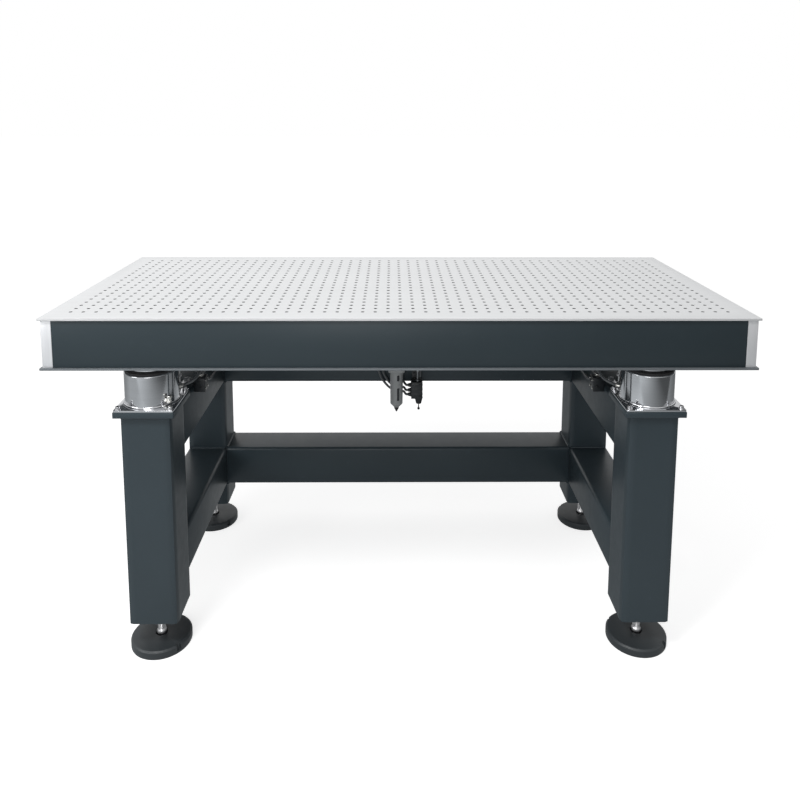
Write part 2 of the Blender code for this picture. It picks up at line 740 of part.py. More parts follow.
def rear_valve():
    """A black valve block on a bracket, with three hose fittings, a plunger up to the top and a toggle."""
    top = UPPER_RAIL_TOP - REAR_VALVE_DROP
    bottom = top - REAR_VALVE_HEIGHT
    half_x = REAR_VALVE_WIDTH / 2
    half_y = REAR_VALVE_DEPTH / 2
    body = box(
        "valve_body_rear",
        (REAR_VALVE_X - half_x, AIR_LINE_Y - half_y, bottom),
        (REAR_VALVE_X + half_x, AIR_LINE_Y + half_y, top),
        VALVE_BLACK,
        VALVE_EDGE,
        1,
    )
    mouth = bottom - NOSE_LENGTH
    nose_x = REAR_VALVE_X + NOSE_OFFSET
    nose = cylinder(
        "rear_valve_nose",
        NOSE_TIP_RADIUS,
        (nose_x, AIR_LINE_Y, mouth),
        (nose_x, AIR_LINE_Y, bottom + WELD),
        VALVE_BLACK,
        12,
        NOSE_ROOT_RADIUS,
    )
    wall_y = INNER_Y - GAP
    bracket = box(
        "rear_valve_bracket",
        (REAR_VALVE_X - BRACKET_WIDTH / 2, wall_y - BRACKET_THICKNESS, bottom + WELD),
        (REAR_VALVE_X + BRACKET_WIDTH / 2, wall_y, bottom + BRACKET_HEIGHT),
        VALVE_BLACK,
    )
    standoff = box(
        "rear_valve_standoff",
        (REAR_VALVE_X - STANDOFF_WIDTH / 2, AIR_LINE_Y, bottom + 2 * WELD),
        (REAR_VALVE_X + STANDOFF_WIDTH / 2, wall_y - BRACKET_THICKNESS / 2, top - 2 * WELD),
        VALVE_BLACK,
    )
    join(body, nose, bracket, standoff)
    for index, height in enumerate(rear_fitting_heights()):
        end = (REAR_VALVE_X - half_x - FITTING_LENGTH, AIR_LINE_Y, height)
        start = (REAR_VALVE_X, AIR_LINE_Y, height)
        join(body, cylinder(f"rear_valve_fitting_{index}", FITTING_RADIUS, start, end, VALVE_BLACK, 8))
    supply = rear_supply_port()
    root = supply - Vector((0, 0, 2 * FITTING_LENGTH))
    join(body, cylinder("rear_valve_supply", FITTING_RADIUS, root, supply, VALVE_BLACK, 8))
    plunger_x = REAR_VALVE_X + PLUNGER_OFFSET
    bore = cylinder(
        "plunger_bore",
        PLUNGER_RADIUS + PLUNGER_CLEARANCE,
        (plunger_x, AIR_LINE_Y, top - PLUNGER_DEPTH),
        (plunger_x, AIR_LINE_Y, top + TOOL_REACH),
        VALVE_BLACK,
        12,
    )
    pivot = mouth + TOGGLE_PIVOT_RISE
    pocket = cylinder(
        "toggle_pocket",
        TOGGLE_PIVOT_RADIUS + TOGGLE_CLEARANCE,
        (nose_x, AIR_LINE_Y, mouth - TOOL_REACH),
        (nose_x, AIR_LINE_Y, pivot + TOGGLE_PIVOT_RADIUS + GAP),
        VALVE_BLACK,
        12,
    )
    cut(body, bore, pocket)
    rear_plunger(plunger_x, top)
    vent_toggle(nose_x, mouth, pivot)


def rear_fitting_heights():
    """The three hose fittings on the left of the rear valve, from the top one down."""
    top = UPPER_RAIL_TOP - REAR_VALVE_DROP
    return [top - drop for drop in FITTING_DROPS]


def rear_supply_port():
    """The fitting on top of the rear valve, beside its plunger."""
    top = UPPER_RAIL_TOP - REAR_VALVE_DROP
    return Vector((REAR_VALVE_X, AIR_LINE_Y, top + FITTING_LENGTH)) + SUPPLY_OFFSET


def rear_plunger(x, body_top):
    head = TOP_UNDERSIDE - GAP
    profile = [
        (0, head),
        (PLUNGER_HEAD_RADIUS, head),
        (PLUNGER_HEAD_RADIUS, head - ROD_PAD_HEIGHT),
        (PLUNGER_RADIUS, head - ROD_PAD_HEIGHT),
        (PLUNGER_RADIUS, body_top - PLUNGER_DEPTH + GAP),
        (0, body_top - PLUNGER_DEPTH + GAP),
    ]
    turned("valve_plunger_rear", profile, ZINC, (x, AIR_LINE_Y, 0.0), 12)


def vent_toggle(x, mouth, pivot):
    """A short stem with a ball at each end. It tips in the valve's nose to let the air out."""
    knob = mouth - TOGGLE_LENGTH - pivot
    profile = [
        (0, TOGGLE_PIVOT_RADIUS),
        *arc((0, 0), TOGGLE_PIVOT_RADIUS, 55, -55, 4),
        *arc((0, knob), TOGGLE_BALL_RADIUS, 65, -60, 5),
        (0, knob - TOGGLE_BALL_RADIUS),
    ]
    turned("vent_toggle", profile, VALVE_BLACK, (x, AIR_LINE_Y, pivot), 10)


def filter_regulator():
    """Head with its bracket, a knob on top and a long bowl with a conical drain below."""
    bottom = UPPER_RAIL_TOP - HEAD_DROP
    top = bottom + HEAD_HEIGHT
    head = box(
        "filter_head",
        (FILTER_X - HEAD_WIDTH / 2, AIR_LINE_Y - HEAD_DEPTH / 2, bottom),
        (FILTER_X + HEAD_WIDTH / 2, AIR_LINE_Y + HEAD_DEPTH / 2, top),
        BOWL_GREY,
        HEAD_EDGE,
    )
    port_z = bottom + HEAD_HEIGHT / 2
    bracket = box(
        "filter_bracket",
        (FILTER_X - HEAD_BRACKET_WIDTH / 2, AIR_LINE_Y, port_z - HEAD_BRACKET_HEIGHT / 2),
        (FILTER_X + HEAD_BRACKET_WIDTH / 2, INNER_Y - GAP, port_z + HEAD_BRACKET_HEIGHT / 2),
        BOWL_GREY,
    )
    join(head, bracket)
    for index, side in enumerate((-1, 1)):
        start = (FILTER_X, AIR_LINE_Y, port_z)
        end = (FILTER_X + side * (HEAD_WIDTH / 2 + FITTING_LENGTH), AIR_LINE_Y, port_z)
        join(head, cylinder(f"filter_port_{index}", FITTING_RADIUS, start, end, BOWL_GREY, 8))
    outlet = filter_outlet()
    root = outlet + Vector((0, 0, 2 * FITTING_LENGTH))
    join(head, cylinder("filter_outlet", FITTING_RADIUS, root, outlet, BOWL_GREY, 8))

    shoulder = bottom - GAP
    toe = shoulder - BOWL_LENGTH
    tip = toe - BOWL_CONE_LENGTH
    profile = [
        (0, shoulder),
        (BOWL_RADIUS, shoulder),
        (BOWL_RADIUS, shoulder - COLLAR_HEIGHT),
        (BOWL_RADIUS - COLLAR_STEP, shoulder - COLLAR_HEIGHT - COLLAR_STEP),
        (BOWL_TOE_RADIUS, toe),
        (DRAIN_RADIUS, tip + DRAIN_RIM),
        (DRAIN_RADIUS, tip),
        (DRAIN_TIP_RADIUS, tip - DRAIN_LENGTH),
        (0, tip - DRAIN_LENGTH),
    ]
    turned("filter_bowl", profile, BOWL_GREY, (FILTER_X, AIR_LINE_Y, 0.0), 24)

    knob_profile = [
        (0, top + KNOB_HEIGHT),
        (KNOB_RADIUS - KNOB_EDGE, top + KNOB_HEIGHT),
        (KNOB_RADIUS, top + KNOB_HEIGHT - KNOB_EDGE),
        (KNOB_RADIUS, top + GAP),
        (0, top + GAP),
    ]
    turned("regulator_knob", knob_profile, VALVE_BLACK, (FILTER_X, AIR_LINE_Y, 0.0), 16)


def filter_outlet():
    """The underside port of the filter head, behind the bowl."""
    bottom = UPPER_RAIL_TOP - HEAD_DROP
    return Vector((FILTER_X + HEAD_WIDTH / 2 - FITTING_RADIUS, hose_lane(), bottom - FITTING_LENGTH))


def hose_lane():
    """The Y of the hoses that run along the stretcher's front face."""
    return INNER_Y - 2.5 * HOSE_RADIUS


def smooth_route(points, samples=12):
    """A centripetal Catmull-Rom curve through the points, sampled evenly on each span."""
    points = [Vector(point) for point in points]
    ends = [2 * points[0] - points[1], *points, 2 * points[-1] - points[-2]]
    route = [points[0]]
    for p0, p1, p2, p3 in zip(ends, ends[1:], ends[2:], ends[3:]):
        t1 = math.sqrt((p1 - p0).length)
        t2 = t1 + math.sqrt((p2 - p1).length)
        t3 = t2 + math.sqrt((p3 - p2).length)
        for i in range(1, samples + 1):
            t = t1 + (t2 - t1) * i / samples
            a1 = p0.lerp(p1, t / t1)
            a2 = p1.lerp(p2, (t - t1) / (t2 - t1))
            a3 = p2.lerp(p3, (t - t2) / (t3 - t2))
            b1 = a1.lerp(a2, t / t2)
            b2 = a2.lerp(a3, (t - t1) / (t3 - t1))
            route.append(b1.lerp(b2, (t - t1) / (t2 - t1)))
    return route


def thinned(route):
    """Leaves out points where the route hardly turns."""
    kept = [route[0]]
    heading = route[1] - route[0]
    for point, after in zip(route[1:], route[2:]):
        turn = math.degrees(heading.angle(after - point))
        if turn > HOSE_TURN or (point - kept[-1]).length > HOSE_STEP:
            kept.append(point)
            heading = after - point
    kept.append(route[-1])
    return kept


def hose(name, points):
    route = thinned(smooth_route(points))
    curve = bpy.data.curves.new(name, "CURVE")
    curve.dimensions = "3D"
    curve.bevel_depth = HOSE_RADIUS
    curve.bevel_resolution = 1
    curve.use_fill_caps = True
    spline = curve.splines.new("POLY")
    spline.points.add(len(route) - 1)
    for point, place_on_route in zip(spline.points, route):
        point.co = (*place_on_route, 1.0)
    obj = bpy.data.objects.new(name, curve)
    PARTS.objects.link(obj)
    return smooth(as_mesh(obj, HOSE_GREY), 60)


def port_of(corner):
    """The outer end of an isolator's air port and its direction."""
    x, y = CORNERS[corner]
    out = Vector((-x, -y, 0)).normalized()
    end = Vector((x * LEG_X, y * LEG_Y, PORT_Z)) + out * (HOUSING_RADIUS + PORT_REACH + GAP)
    return end, out


def hose_corner(x, height):
    """The turn from the stretcher to a side rail, along the inside of the frame."""
    lane_y = hose_lane()
    clear_x = INNER_X - 3 * HOSE_RADIUS
    return [
        (x * (clear_x - 0.110), lane_y, height),
        (x * (clear_x - 0.070), lane_y - 0.001, height),
        (x * (clear_x - 0.034), lane_y - 0.010, height),
        (x * (clear_x - 0.010), lane_y - 0.034, height),
        (x * clear_x, lane_y - 0.070, height),
    ]


def hoses():
    lane_y = hose_lane()
    high_z = UPPER_RAIL_TOP - 0.012
    mid_z = UPPER_RAIL_TOP - 0.024
    fitting_x = REAR_VALVE_X - REAR_VALVE_WIDTH / 2 - FITTING_LENGTH - GAP
    link_z, upper_z, lower_z = rear_fitting_heights()
    behind_x = FILTER_X + BOWL_RADIUS
    valve_back = VALVE_SHAFT_Y + VALVE_SIZE.y / 2 + GAP
    valve_mid_x = INNER_X - VALVE_SIZE.x / 2
    valve_top = UPPER_RAIL_TOP + VALVE_TOP_RISE
    valve_z = valve_top - VALVE_SIZE.z / 2
    clear_x = INNER_X - 3 * HOSE_RADIUS

    outlet = filter_outlet() - Vector((0, 0, GAP))
    hose(
        "air_link_tube",
        [
            (fitting_x, AIR_LINE_Y, link_z),
            (fitting_x - 0.004, AIR_LINE_Y, link_z),
            (behind_x + 0.006, AIR_LINE_Y + 0.010, link_z - 0.002),
            (outlet.x - 0.001, outlet.y - 0.002, link_z + 0.009),
            (outlet.x, outlet.y, outlet.z - 0.010),
            outlet,
        ],
    )
    hose(
        "air_hose_front_left",
        [
            (fitting_x, AIR_LINE_Y, lower_z),
            (fitting_x - 0.006, AIR_LINE_Y, lower_z),
            (behind_x, lane_y - 0.004, lower_z + 0.0005),
            (FILTER_X, lane_y, lower_z + 0.002),
            (FILTER_X - 0.016, lane_y, lower_z + 0.008),
            (FILTER_X - 0.037, lane_y, lower_z + 0.032),
            (FILTER_X - 0.049, lane_y, lower_z + 0.062),
            (FILTER_X - 0.062, lane_y, mid_z - 0.006),
            (FILTER_X - 0.090, lane_y, mid_z),
            *hose_corner(-1, mid_z),
            (-clear_x, valve_back + 0.070, mid_z + 0.004),
            (-valve_mid_x, valve_back + 0.015, valve_z),
            (-valve_mid_x, valve_back, valve_z),
        ],
    )
    port, out = port_of("rear_left")
    hose(
        "air_hose_rear_left",
        [
            (fitting_x, AIR_LINE_Y, upper_z),
            (fitting_x - 0.006, AIR_LINE_Y, upper_z),
            (behind_x, lane_y - 0.004, upper_z + 0.0005),
            (FILTER_X, lane_y, upper_z + 0.003),
            (FILTER_X - 0.016, lane_y, upper_z + 0.010),
            (FILTER_X - 0.033, lane_y, upper_z + 0.036),
            (FILTER_X - 0.041, lane_y, upper_z + 0.066),
            (FILTER_X - 0.056, lane_y, high_z - 0.005),
            (FILTER_X - 0.085, lane_y, high_z),
            (-(INNER_X - 0.110), lane_y, high_z),
            port + out * 0.028 + Vector((0, 0, -0.012)),
            port + out * 0.006,
            port,
        ],
    )
    supply = rear_supply_port() + Vector((0, 0, GAP))
    port, out = port_of("rear_right")
    hose(
        "air_hose_rear_right",
        [
            supply,
            supply + Vector((0, 0, 0.010)),
            supply + Vector((0.001, 0, 0.036)),
            (supply.x + 0.009, supply.y + 0.003, high_z - 0.010),
            (supply.x + 0.030, lane_y - 0.005, high_z),
            (supply.x + 0.075, lane_y, high_z),
            (INNER_X - 0.110, lane_y, high_z),
            port + out * 0.028 + Vector((0, 0, -0.012)),
            port + out * 0.006,
            port,
        ],
    )
    head_mid = UPPER_RAIL_TOP - HEAD_DROP + HEAD_HEIGHT / 2
    head_port_x = FILTER_X + HEAD_WIDTH / 2 + FITTING_LENGTH + GAP
    hose(
        "air_hose_front_right",
        [
            (head_port_x, AIR_LINE_Y, head_mid),
            (head_port_x + 0.006, AIR_LINE_Y, head_mid),
            (head_port_x + 0.015, lane_y - 0.012, head_mid - 0.001),
            (REAR_VALVE_X + 0.004, lane_y - 0.001, head_mid - 0.002),
            (REAR_VALVE_X + 0.028, lane_y, head_mid + 0.002),
            (REAR_VALVE_X + 0.065, lane_y, mid_z),
            *hose_corner(1, mid_z),
            (clear_x, valve_back + 0.070, mid_z + 0.004),
            (valve_mid_x, valve_back + 0.015, valve_z),
            (valve_mid_x, valve_back, valve_z),
        ],
    )
    for side, x in SIDES.items():
        port, out = port_of(f"front_{side}")
        hose(
            f"air_jumper_front_{side}",
            [
                port,
                port + out * 0.006,
                (x * (INNER_X - 0.019), port.y + 0.016, valve_top + 0.022),
                (x * (INNER_X - 0.028), port.y + 0.045, valve_top + 0.036),
                (x * (INNER_X - 0.024), VALVE_SHAFT_Y - 0.008, valve_top + 0.026),
                (x * valve_mid_x, VALVE_SHAFT_Y, valve_top + 0.010),
                (x * valve_mid_x, VALVE_SHAFT_Y, valve_top + GAP),
            ],
        )


def build():
    table_skins()
    honeycomb_core()
    side_panels()
    corner_posts()
    legs()
    rails()
    isolator_housings()
    isolator_stop_rings()
    isolator_pistons()
    foot_discs()
    foot_studs()
    front_valves()
    rear_valve()
    filter_regulator()
    hoses()


build()
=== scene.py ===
"""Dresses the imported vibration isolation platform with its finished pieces, materials, stage and camera.

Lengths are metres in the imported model's frame: X along the top, -Y to the front, Z up from the floor.
"""

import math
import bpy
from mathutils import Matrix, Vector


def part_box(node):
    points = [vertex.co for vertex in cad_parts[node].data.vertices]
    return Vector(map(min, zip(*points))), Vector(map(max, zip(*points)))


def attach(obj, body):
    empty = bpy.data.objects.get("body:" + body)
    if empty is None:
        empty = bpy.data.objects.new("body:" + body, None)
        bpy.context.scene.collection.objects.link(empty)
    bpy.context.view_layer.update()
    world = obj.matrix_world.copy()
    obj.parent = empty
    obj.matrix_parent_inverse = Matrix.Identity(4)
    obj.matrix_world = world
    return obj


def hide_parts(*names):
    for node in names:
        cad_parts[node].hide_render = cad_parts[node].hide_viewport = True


bl_info = {
    "name": "Vibration Isolation Platform",
    "version": (1, 0, 0),
    "blender": (4, 5, 0),
    "location": "View3D > Sidebar > Platform",
    "description": "Builds the finished pieces of the platform, its studio stage and its camera",
    "category": "Object",
}

import bmesh
import bpy
from bpy.props import FloatProperty, FloatVectorProperty, IntProperty, PointerProperty
from mathutils import Matrix, Vector

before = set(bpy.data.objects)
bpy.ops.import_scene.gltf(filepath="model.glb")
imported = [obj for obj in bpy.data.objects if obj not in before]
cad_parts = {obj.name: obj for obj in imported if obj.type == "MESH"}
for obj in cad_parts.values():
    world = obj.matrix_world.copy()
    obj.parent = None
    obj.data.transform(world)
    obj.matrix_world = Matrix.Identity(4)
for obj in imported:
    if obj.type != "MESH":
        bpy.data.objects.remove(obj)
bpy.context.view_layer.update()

CORNERS = {
    "front_left": (-1, -1),
    "front_right": (1, -1),
    "rear_right": (1, 1),
    "rear_left": (-1, 1),
}
SIDES = {"left": -1, "right": 1}


def middle(node):
    low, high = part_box(node)
    return (low + high) / 2


LEG = {corner: middle(f"foot_disc_{corner}") for corner in CORNERS}
FLOOR_TO_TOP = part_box("top_skin")[1].z
NUT_HEIGHT = 0.010
CAP_THICKNESS = 0.012
FLANGE_THICKNESS = 0.004
LEG_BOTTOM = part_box("leg_front_left")[0].z + NUT_HEIGHT
CAP_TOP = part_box("isolator_housing_front_left")[0].z
CUP_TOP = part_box("isolator_housing_front_left")[1].z
FLANGE_TOP = CAP_TOP + FLANGE_THICKNESS
DISC_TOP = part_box("foot_disc_front_left")[1].z

# The rails between the legs, each with the number of the axis that it lies along
RAILS = {
    "lower_side_rail_left": 1,
    "lower_side_rail_right": 1,
    "upper_side_rail_left": 1,
    "upper_side_rail_right": 1,
    "lower_rear_stretcher": 0,
    "upper_rear_stretcher": 0,
}

# Stretches of the air hoses that are the same on both sides, given for the right side
RUN_TO_FRONT = [
    (0.334, 0.1735, 0.486),
    (0.374, 0.1725, 0.486),
    (0.41, 0.1635, 0.486),
    (0.434, 0.1395, 0.486),
    (0.444, 0.1035, 0.486),
    (0.444, -0.0057, 0.49),
    (0.441, -0.0607, 0.5115),
    (0.441, -0.0757, 0.5115),
]
RUN_TO_REAR = [
    (0.343, 0.1735, 0.498),
    (0.436, 0.164, 0.53),
    (0.4515, 0.1795, 0.542),
    (0.4558, 0.1838, 0.542),
]
JUMPER = [
    (0.4558, -0.1838, 0.542),
    (0.4515, -0.1795, 0.542),
    (0.434, -0.1678, 0.549),
    (0.425, -0.1388, 0.563),
    (0.429, -0.099, 0.553),
    (0.441, -0.091, 0.537),
    (0.441, -0.091, 0.5273),
]


def on_left(points):
    return [(-x, y, z) for x, y, z in points]


# Routes of the air hoses, from one fitting to the other
HOSE_ROUTES = {
    "air_link_tube": [
        (0.0262, 0.15, 0.4138),
        (0.0222, 0.15, 0.4138),
        (0.0186, 0.16, 0.4118),
        (0.01, 0.1715, 0.4228),
        (0.011, 0.1735, 0.4357),
        (0.011, 0.1735, 0.4457),
    ],
    "air_hose_front_left": [
        (0.0262, 0.15, 0.389),
        (0.0202, 0.15, 0.389),
        (0.0126, 0.1695, 0.3895),
        (-0.005, 0.1735, 0.391),
        (-0.021, 0.1735, 0.397),
        (-0.042, 0.1735, 0.421),
        (-0.054, 0.1735, 0.451),
        (-0.067, 0.1735, 0.48),
        (-0.095, 0.1735, 0.486),
        *on_left(RUN_TO_FRONT),
    ],
    "air_hose_rear_left": [
        (0.0262, 0.15, 0.4004),
        (0.0202, 0.15, 0.4004),
        (0.0126, 0.1695, 0.4009),
        (-0.005, 0.1735, 0.4034),
        (-0.021, 0.1735, 0.4104),
        (-0.038, 0.1735, 0.4364),
        (-0.046, 0.1735, 0.4664),
        (-0.061, 0.1735, 0.493),
        (-0.09, 0.1735, 0.498),
        *on_left(RUN_TO_REAR),
    ],
    "air_hose_rear_right": [
        (0.0555, 0.1565, 0.4313),
        (0.0555, 0.1565, 0.4413),
        (0.0565, 0.1565, 0.4673),
        (0.0645, 0.1595, 0.488),
        (0.0855, 0.1685, 0.498),
        (0.1305, 0.1735, 0.498),
        *RUN_TO_REAR,
    ],
    "air_hose_front_right": [
        (0.0223, 0.15, 0.471),
        (0.0283, 0.15, 0.471),
        (0.0373, 0.1615, 0.47),
        (0.051, 0.1725, 0.469),
        (0.075, 0.1735, 0.473),
        (0.112, 0.1735, 0.486),
        *RUN_TO_FRONT,
    ],
    "air_jumper_front_left": on_left(JUMPER),
    "air_jumper_front_right": JUMPER,
}

# The camera's place, the shift of its frame and its turns in degrees
CAMERA_PLACE = (-0.01714, -1.66176, 1.11090)
CAMERA_SHIFT = (0.0022, -0.2437)
CAMERA_PITCH, CAMERA_ROLL, CAMERA_YAW = 7.264, -0.124, 0.492


def length(name, value, about):
    return FloatProperty(
        name=name, description=about, default=value, min=0.0, subtype="DISTANCE", unit="LENGTH"
    )


def number(name, value, about, unit="NONE"):
    return FloatProperty(name=name, description=about, default=value, unit=unit)


def colour(name, value, about):
    return FloatVectorProperty(
        name=name, description=about, default=value, size=3, min=0.0, max=1.0, subtype="COLOR"
    )


class TopSettings(bpy.types.PropertyGroup):
    hole_pitch: length("Hole pitch", 0.025, "Distance from one hole to the next")
    hole_columns: IntProperty(name="Columns", description="Holes along the top", default=53, min=1)
    hole_rows: IntProperty(name="Rows", description="Holes across the top", default=21, min=1)
    hole_radius: length("Hole radius", 0.0034, "Radius of the threaded part of a hole")
    sink_radius: length("Countersink radius", 0.0036, "Radius of a hole at the surface")
    sink_depth: length("Countersink depth", 0.0003, "Depth of the countersink")
    well_depth: length("Hole depth", 0.0036, "Depth of a hole to its sealing cup")
    edge_radius: length("Edge radius", 0.0007, "Rounding of the skins' and panels' edges")
    steel_colour: colour("Steel", (0.84, 0.85, 0.86), "Colour of the satin top skin")
    edge_colour: colour("Skin edge", (0.54, 0.55, 0.56), "Colour of the top skin's bright edge")
    post_colour: colour("Corner post", (0.78, 0.79, 0.81), "Colour of the bright corner posts")
    lip_colour: colour("Lower skin", (0.145, 0.161, 0.174), "Colour of the lower skin and its lip")
    panel_colour: colour("Side panel", (0.025, 0.037, 0.044), "Colour of the side panels")


class FrameSettings(bpy.types.PropertyGroup):
    paint_colour: colour("Paint", (0.033, 0.047, 0.056), "Colour of the frame's powder coat")
    corner_radius: length("Tube corner", 0.008, "Outer radius of the square tubes' corners")
    tube_size: length("Tube size", 0.100, "Width of the square tubes")
    bead_radius: length("Weld bead", 0.0034, "Radius of the weld beads")
    ripple: length("Weld ripple", 0.0042, "Distance between two ripples of a weld bead")


class IsolatorSettings(bpy.types.PropertyGroup):
    steel_colour: colour("Turned steel", (0.62, 0.63, 0.65), "Colour of the turned isolator parts")
    rubber_colour: colour("Rubber", (0.014, 0.014, 0.015), "Colour of the stop rings")
    cup_radius: length("Cup radius", 0.0525, "Outer radius of the isolator cup")
    fillet_radius: length("Fillet radius", 0.0035, "Radius of the fillet where the cup meets its flange")
    flange_size: length("Flange size", 0.118, "Width of the square flange")
    screw_inset: length("Screw inset", 0.0075, "Distance from the flange's edge to a screw's axis")


class FootSettings(bpy.types.PropertyGroup):
    cast_colour: colour("Casting", (0.028, 0.034, 0.038), "Colour of the painted foot discs")
    zinc_colour: colour("Zinc plate", (0.60, 0.60, 0.61), "Colour of the plated steel pieces")
    disc_radius: length("Disc radius", 0.062, "Radius of a foot disc")
    stud_radius: length("Stud radius", 0.008, "Outer radius of the thread")
    thread_pitch: length("Thread pitch", 0.002, "Rise of the thread in one turn")


class AirSettings(bpy.types.PropertyGroup):
    hose_radius: length("Hose radius", 0.003, "Outer radius of the air hoses")
    hose_colour: colour("Hose", (0.090, 0.098, 0.105), "Colour of the air hoses")
    valve_colour: colour("Valve body", (0.011, 0.014, 0.017), "Colour of the valve blocks")
    guard_colour: colour("Bowl guard", (0.330, 0.345, 0.352), "Colour of the filter's bowl guard")
    knob_colour: colour("Knob", (0.020, 0.020, 0.021), "Colour of the regulator knob")


class StageSettings(bpy.types.PropertyGroup):
    key_power: number("Key light", 27.0, "Power of the lamp overhead", "POWER")
    side_power: number("Side light", 15.0, "Power of the lamp at the left", "POWER")
    fill_power: number("Fill light", 11.0, "Power of the lamp in front", "POWER")
    room_level: number("Room", 0.43, "Level of the light from all sides")
    front_level: number("Studio front", 0.42, "Brightness of the room in front, seen in reflections")
    upper_level: number("Studio above", 1.0, "Brightness of the room higher up, seen in reflections")
    floor_colour: colour("Floor", (0.62, 0.62, 0.62), "Colour of the floor under its own light")
    floor_lift: number("Floor lift", 0.74, "Light that brings the floor to white for the camera")
    # The floor in reflections is painted light: a glow with these levels, slope and tint, with painted
    # shadow, in place of the lit floor
    mirror_level: number("Mirrored floor", 0.43, "Brightness of the floor in reflections, at the middle")
    mirror_slope: number("Mirrored slope", 0.15, "Loss of that brightness in one metre to the right")
    mirror_colour: colour("Mirrored tint", (0.94, 0.98, 1.0), "Tint of the floor in reflections")
    focal_length: number("Focal length", 33.0, "Focal length of the camera", "CAMERA")


FINISHES = {}
# Nearly all values of a noise texture lie between these two
NOISE_LOW, NOISE_HIGH = 0.3, 0.7
# Edges that turn by more degrees than this are shown sharp
SHARP_ANGLE = 30.0


def added(name, data):
    """A new object in the scene."""
    obj = bpy.data.objects.new(name, data)
    bpy.context.scene.collection.objects.link(obj)
    return obj


def grown(tree, kind, links, **values):
    """A new node with these input links, each from a socket or a plain value."""
    node = tree.nodes.new(kind)
    for name, value in values.items():
        setattr(node, name, value)
    for key, value in links.items():
        if isinstance(value, bpy.types.NodeSocket):
            tree.links.new(value, node.inputs[key])
        else:
            node.inputs[key].default_value = value
    return node


def calculated(tree, operation, *values):
    """The result of a math node. Each value is a number or another node's output."""
    return grown(tree, "ShaderNodeMath", dict(enumerate(values)), operation=operation).outputs[0]


def mixed(tree, factor, first, second):
    """A number between two. Each is a number or another node's output."""
    node = grown(tree, "ShaderNodeMix", {"Factor": factor, "A": first, "B": second})
    return node.outputs["Result"]


def blend_colours(tree, factor, first, second):
    """A colour between two. Each is a colour or another node's output."""
    ends = [value if isinstance(value, bpy.types.NodeSocket) else (*value, 1.0) for value in (first, second)]
    node = grown(tree, "ShaderNodeMix", {"Factor": factor, "A": ends[0], "B": ends[1]}, data_type="RGBA")
    return node.outputs["Result"]


def separated(tree, vector):
    """The X, Y and Z of a vector, as outputs by name."""
    return grown(tree, "ShaderNodeSeparateXYZ", {"Vector": vector}).outputs


def stretched(tree, vector, stretch, turn=(0, 0, 0)):
    node = grown(tree, "ShaderNodeMapping", {"Vector": vector, "Scale": stretch, "Rotation": turn})
    return node.outputs["Vector"]


def noise(tree, vector, scale, detail, roughness=0.5):
    links = {"Vector": vector, "Scale": scale, "Detail": detail, "Roughness": roughness}
    return grown(tree, "ShaderNodeTexNoise", links).outputs["Fac"]


def remap(tree, value, start, end, low, high):
    links = {"Value": value, "From Min": start, "From Max": end, "To Min": low, "To Max": high}
    return grown(tree, "ShaderNodeMapRange", links).outputs["Result"]


def spread(tree, value, low, high):
    """A noise's values, spread from low to high."""
    return remap(tree, value, NOISE_LOW, NOISE_HIGH, low, high)


def relief(tree, shader, height, strength, distance):
    bump = grown(tree, "ShaderNodeBump", {"Height": height, "Strength": strength, "Distance": distance})
    tree.links.new(bump.outputs["Normal"], shader.inputs["Normal"])


def shade(tone, factor):
    return tuple(min(channel * factor, 1.0) for channel in tone)


def uneven_tone(tree, value, tone, fade):
    """A tone that a noise makes darker and lighter by a share."""
    return blend_colours(tree, spread(tree, value, 0.0, 1.0), shade(tone, 1 - fade), shade(tone, 1 + fade))


def new_material(name):
    """A material and its empty node tree."""
    material = bpy.data.materials.new(name)
    material.use_nodes = True
    material.node_tree.nodes.clear()
    return material, material.node_tree


def new_finish(name):
    """A finish's node tree, its Principled shader and its Object coordinates."""
    material, tree = new_material(name)
    shader = tree.nodes.new("ShaderNodeBsdfPrincipled")
    grown(tree, "ShaderNodeOutputMaterial", {"Surface": shader.outputs["BSDF"]})
    FINISHES[name] = material
    return tree, shader, tree.nodes.new("ShaderNodeTexCoord").outputs["Object"]


def brushed_metal(name, tone, roughness, stretch, contrast, scale=1.0, metallic=1.0):
    """Metal with a fine grain drawn out along one direction, a little uneven in colour and gloss."""
    tree, shader, place = new_finish(name)
    grain = noise(tree, stretched(tree, place, stretch), scale, 4.0, 0.6)
    cloud = noise(tree, place, 4.0, 3.0)
    tinted = uneven_tone(tree, grain, tone, contrast)
    clouded = blend_colours(tree, remap(tree, cloud, 0.35, 0.65, 0.0, 0.35), tinted, shade(tone, 0.94))
    tree.links.new(clouded, shader.inputs["Base Color"])
    shader.inputs["Metallic"].default_value = metallic
    uneven = calculated(tree, "MULTIPLY", spread(tree, grain, 0.85, 1.15), spread(tree, cloud, 0.9, 1.1))
    gloss = remap(tree, uneven, 0.7, 1.3, roughness * 0.7, roughness * 1.3)
    tree.links.new(gloss, shader.inputs["Roughness"])
    relief(tree, shader, grain, 0.12, 0.0002)


def painted_metal(name, tone, roughness, texture, strength, fade, gloss=0.5, chips=0.0):
    """Paint with a fine orange peel, cloudy colour and small worn specks of a lighter tone."""
    tree, shader, place = new_finish(name)
    peel = noise(tree, place, texture, 2.0)
    cloud = noise(tree, place, 3.2, 3.0)
    dust = noise(tree, place, 46.0, 5.0, 0.65)
    specks = remap(tree, dust, 0.62, 0.74, 0.0, 0.10 + chips)
    worn = blend_colours(tree, specks, uneven_tone(tree, cloud, tone, fade), shade(tone, 1.9))
    tree.links.new(worn, shader.inputs["Base Color"])
    dusty = remap(tree, dust, 0.25, 0.75, roughness * 0.9, roughness * 1.12)
    tree.links.new(dusty, shader.inputs["Roughness"])
    shader.inputs["Specular IOR Level"].default_value = gloss
    relief(tree, shader, peel, strength, 0.0003)


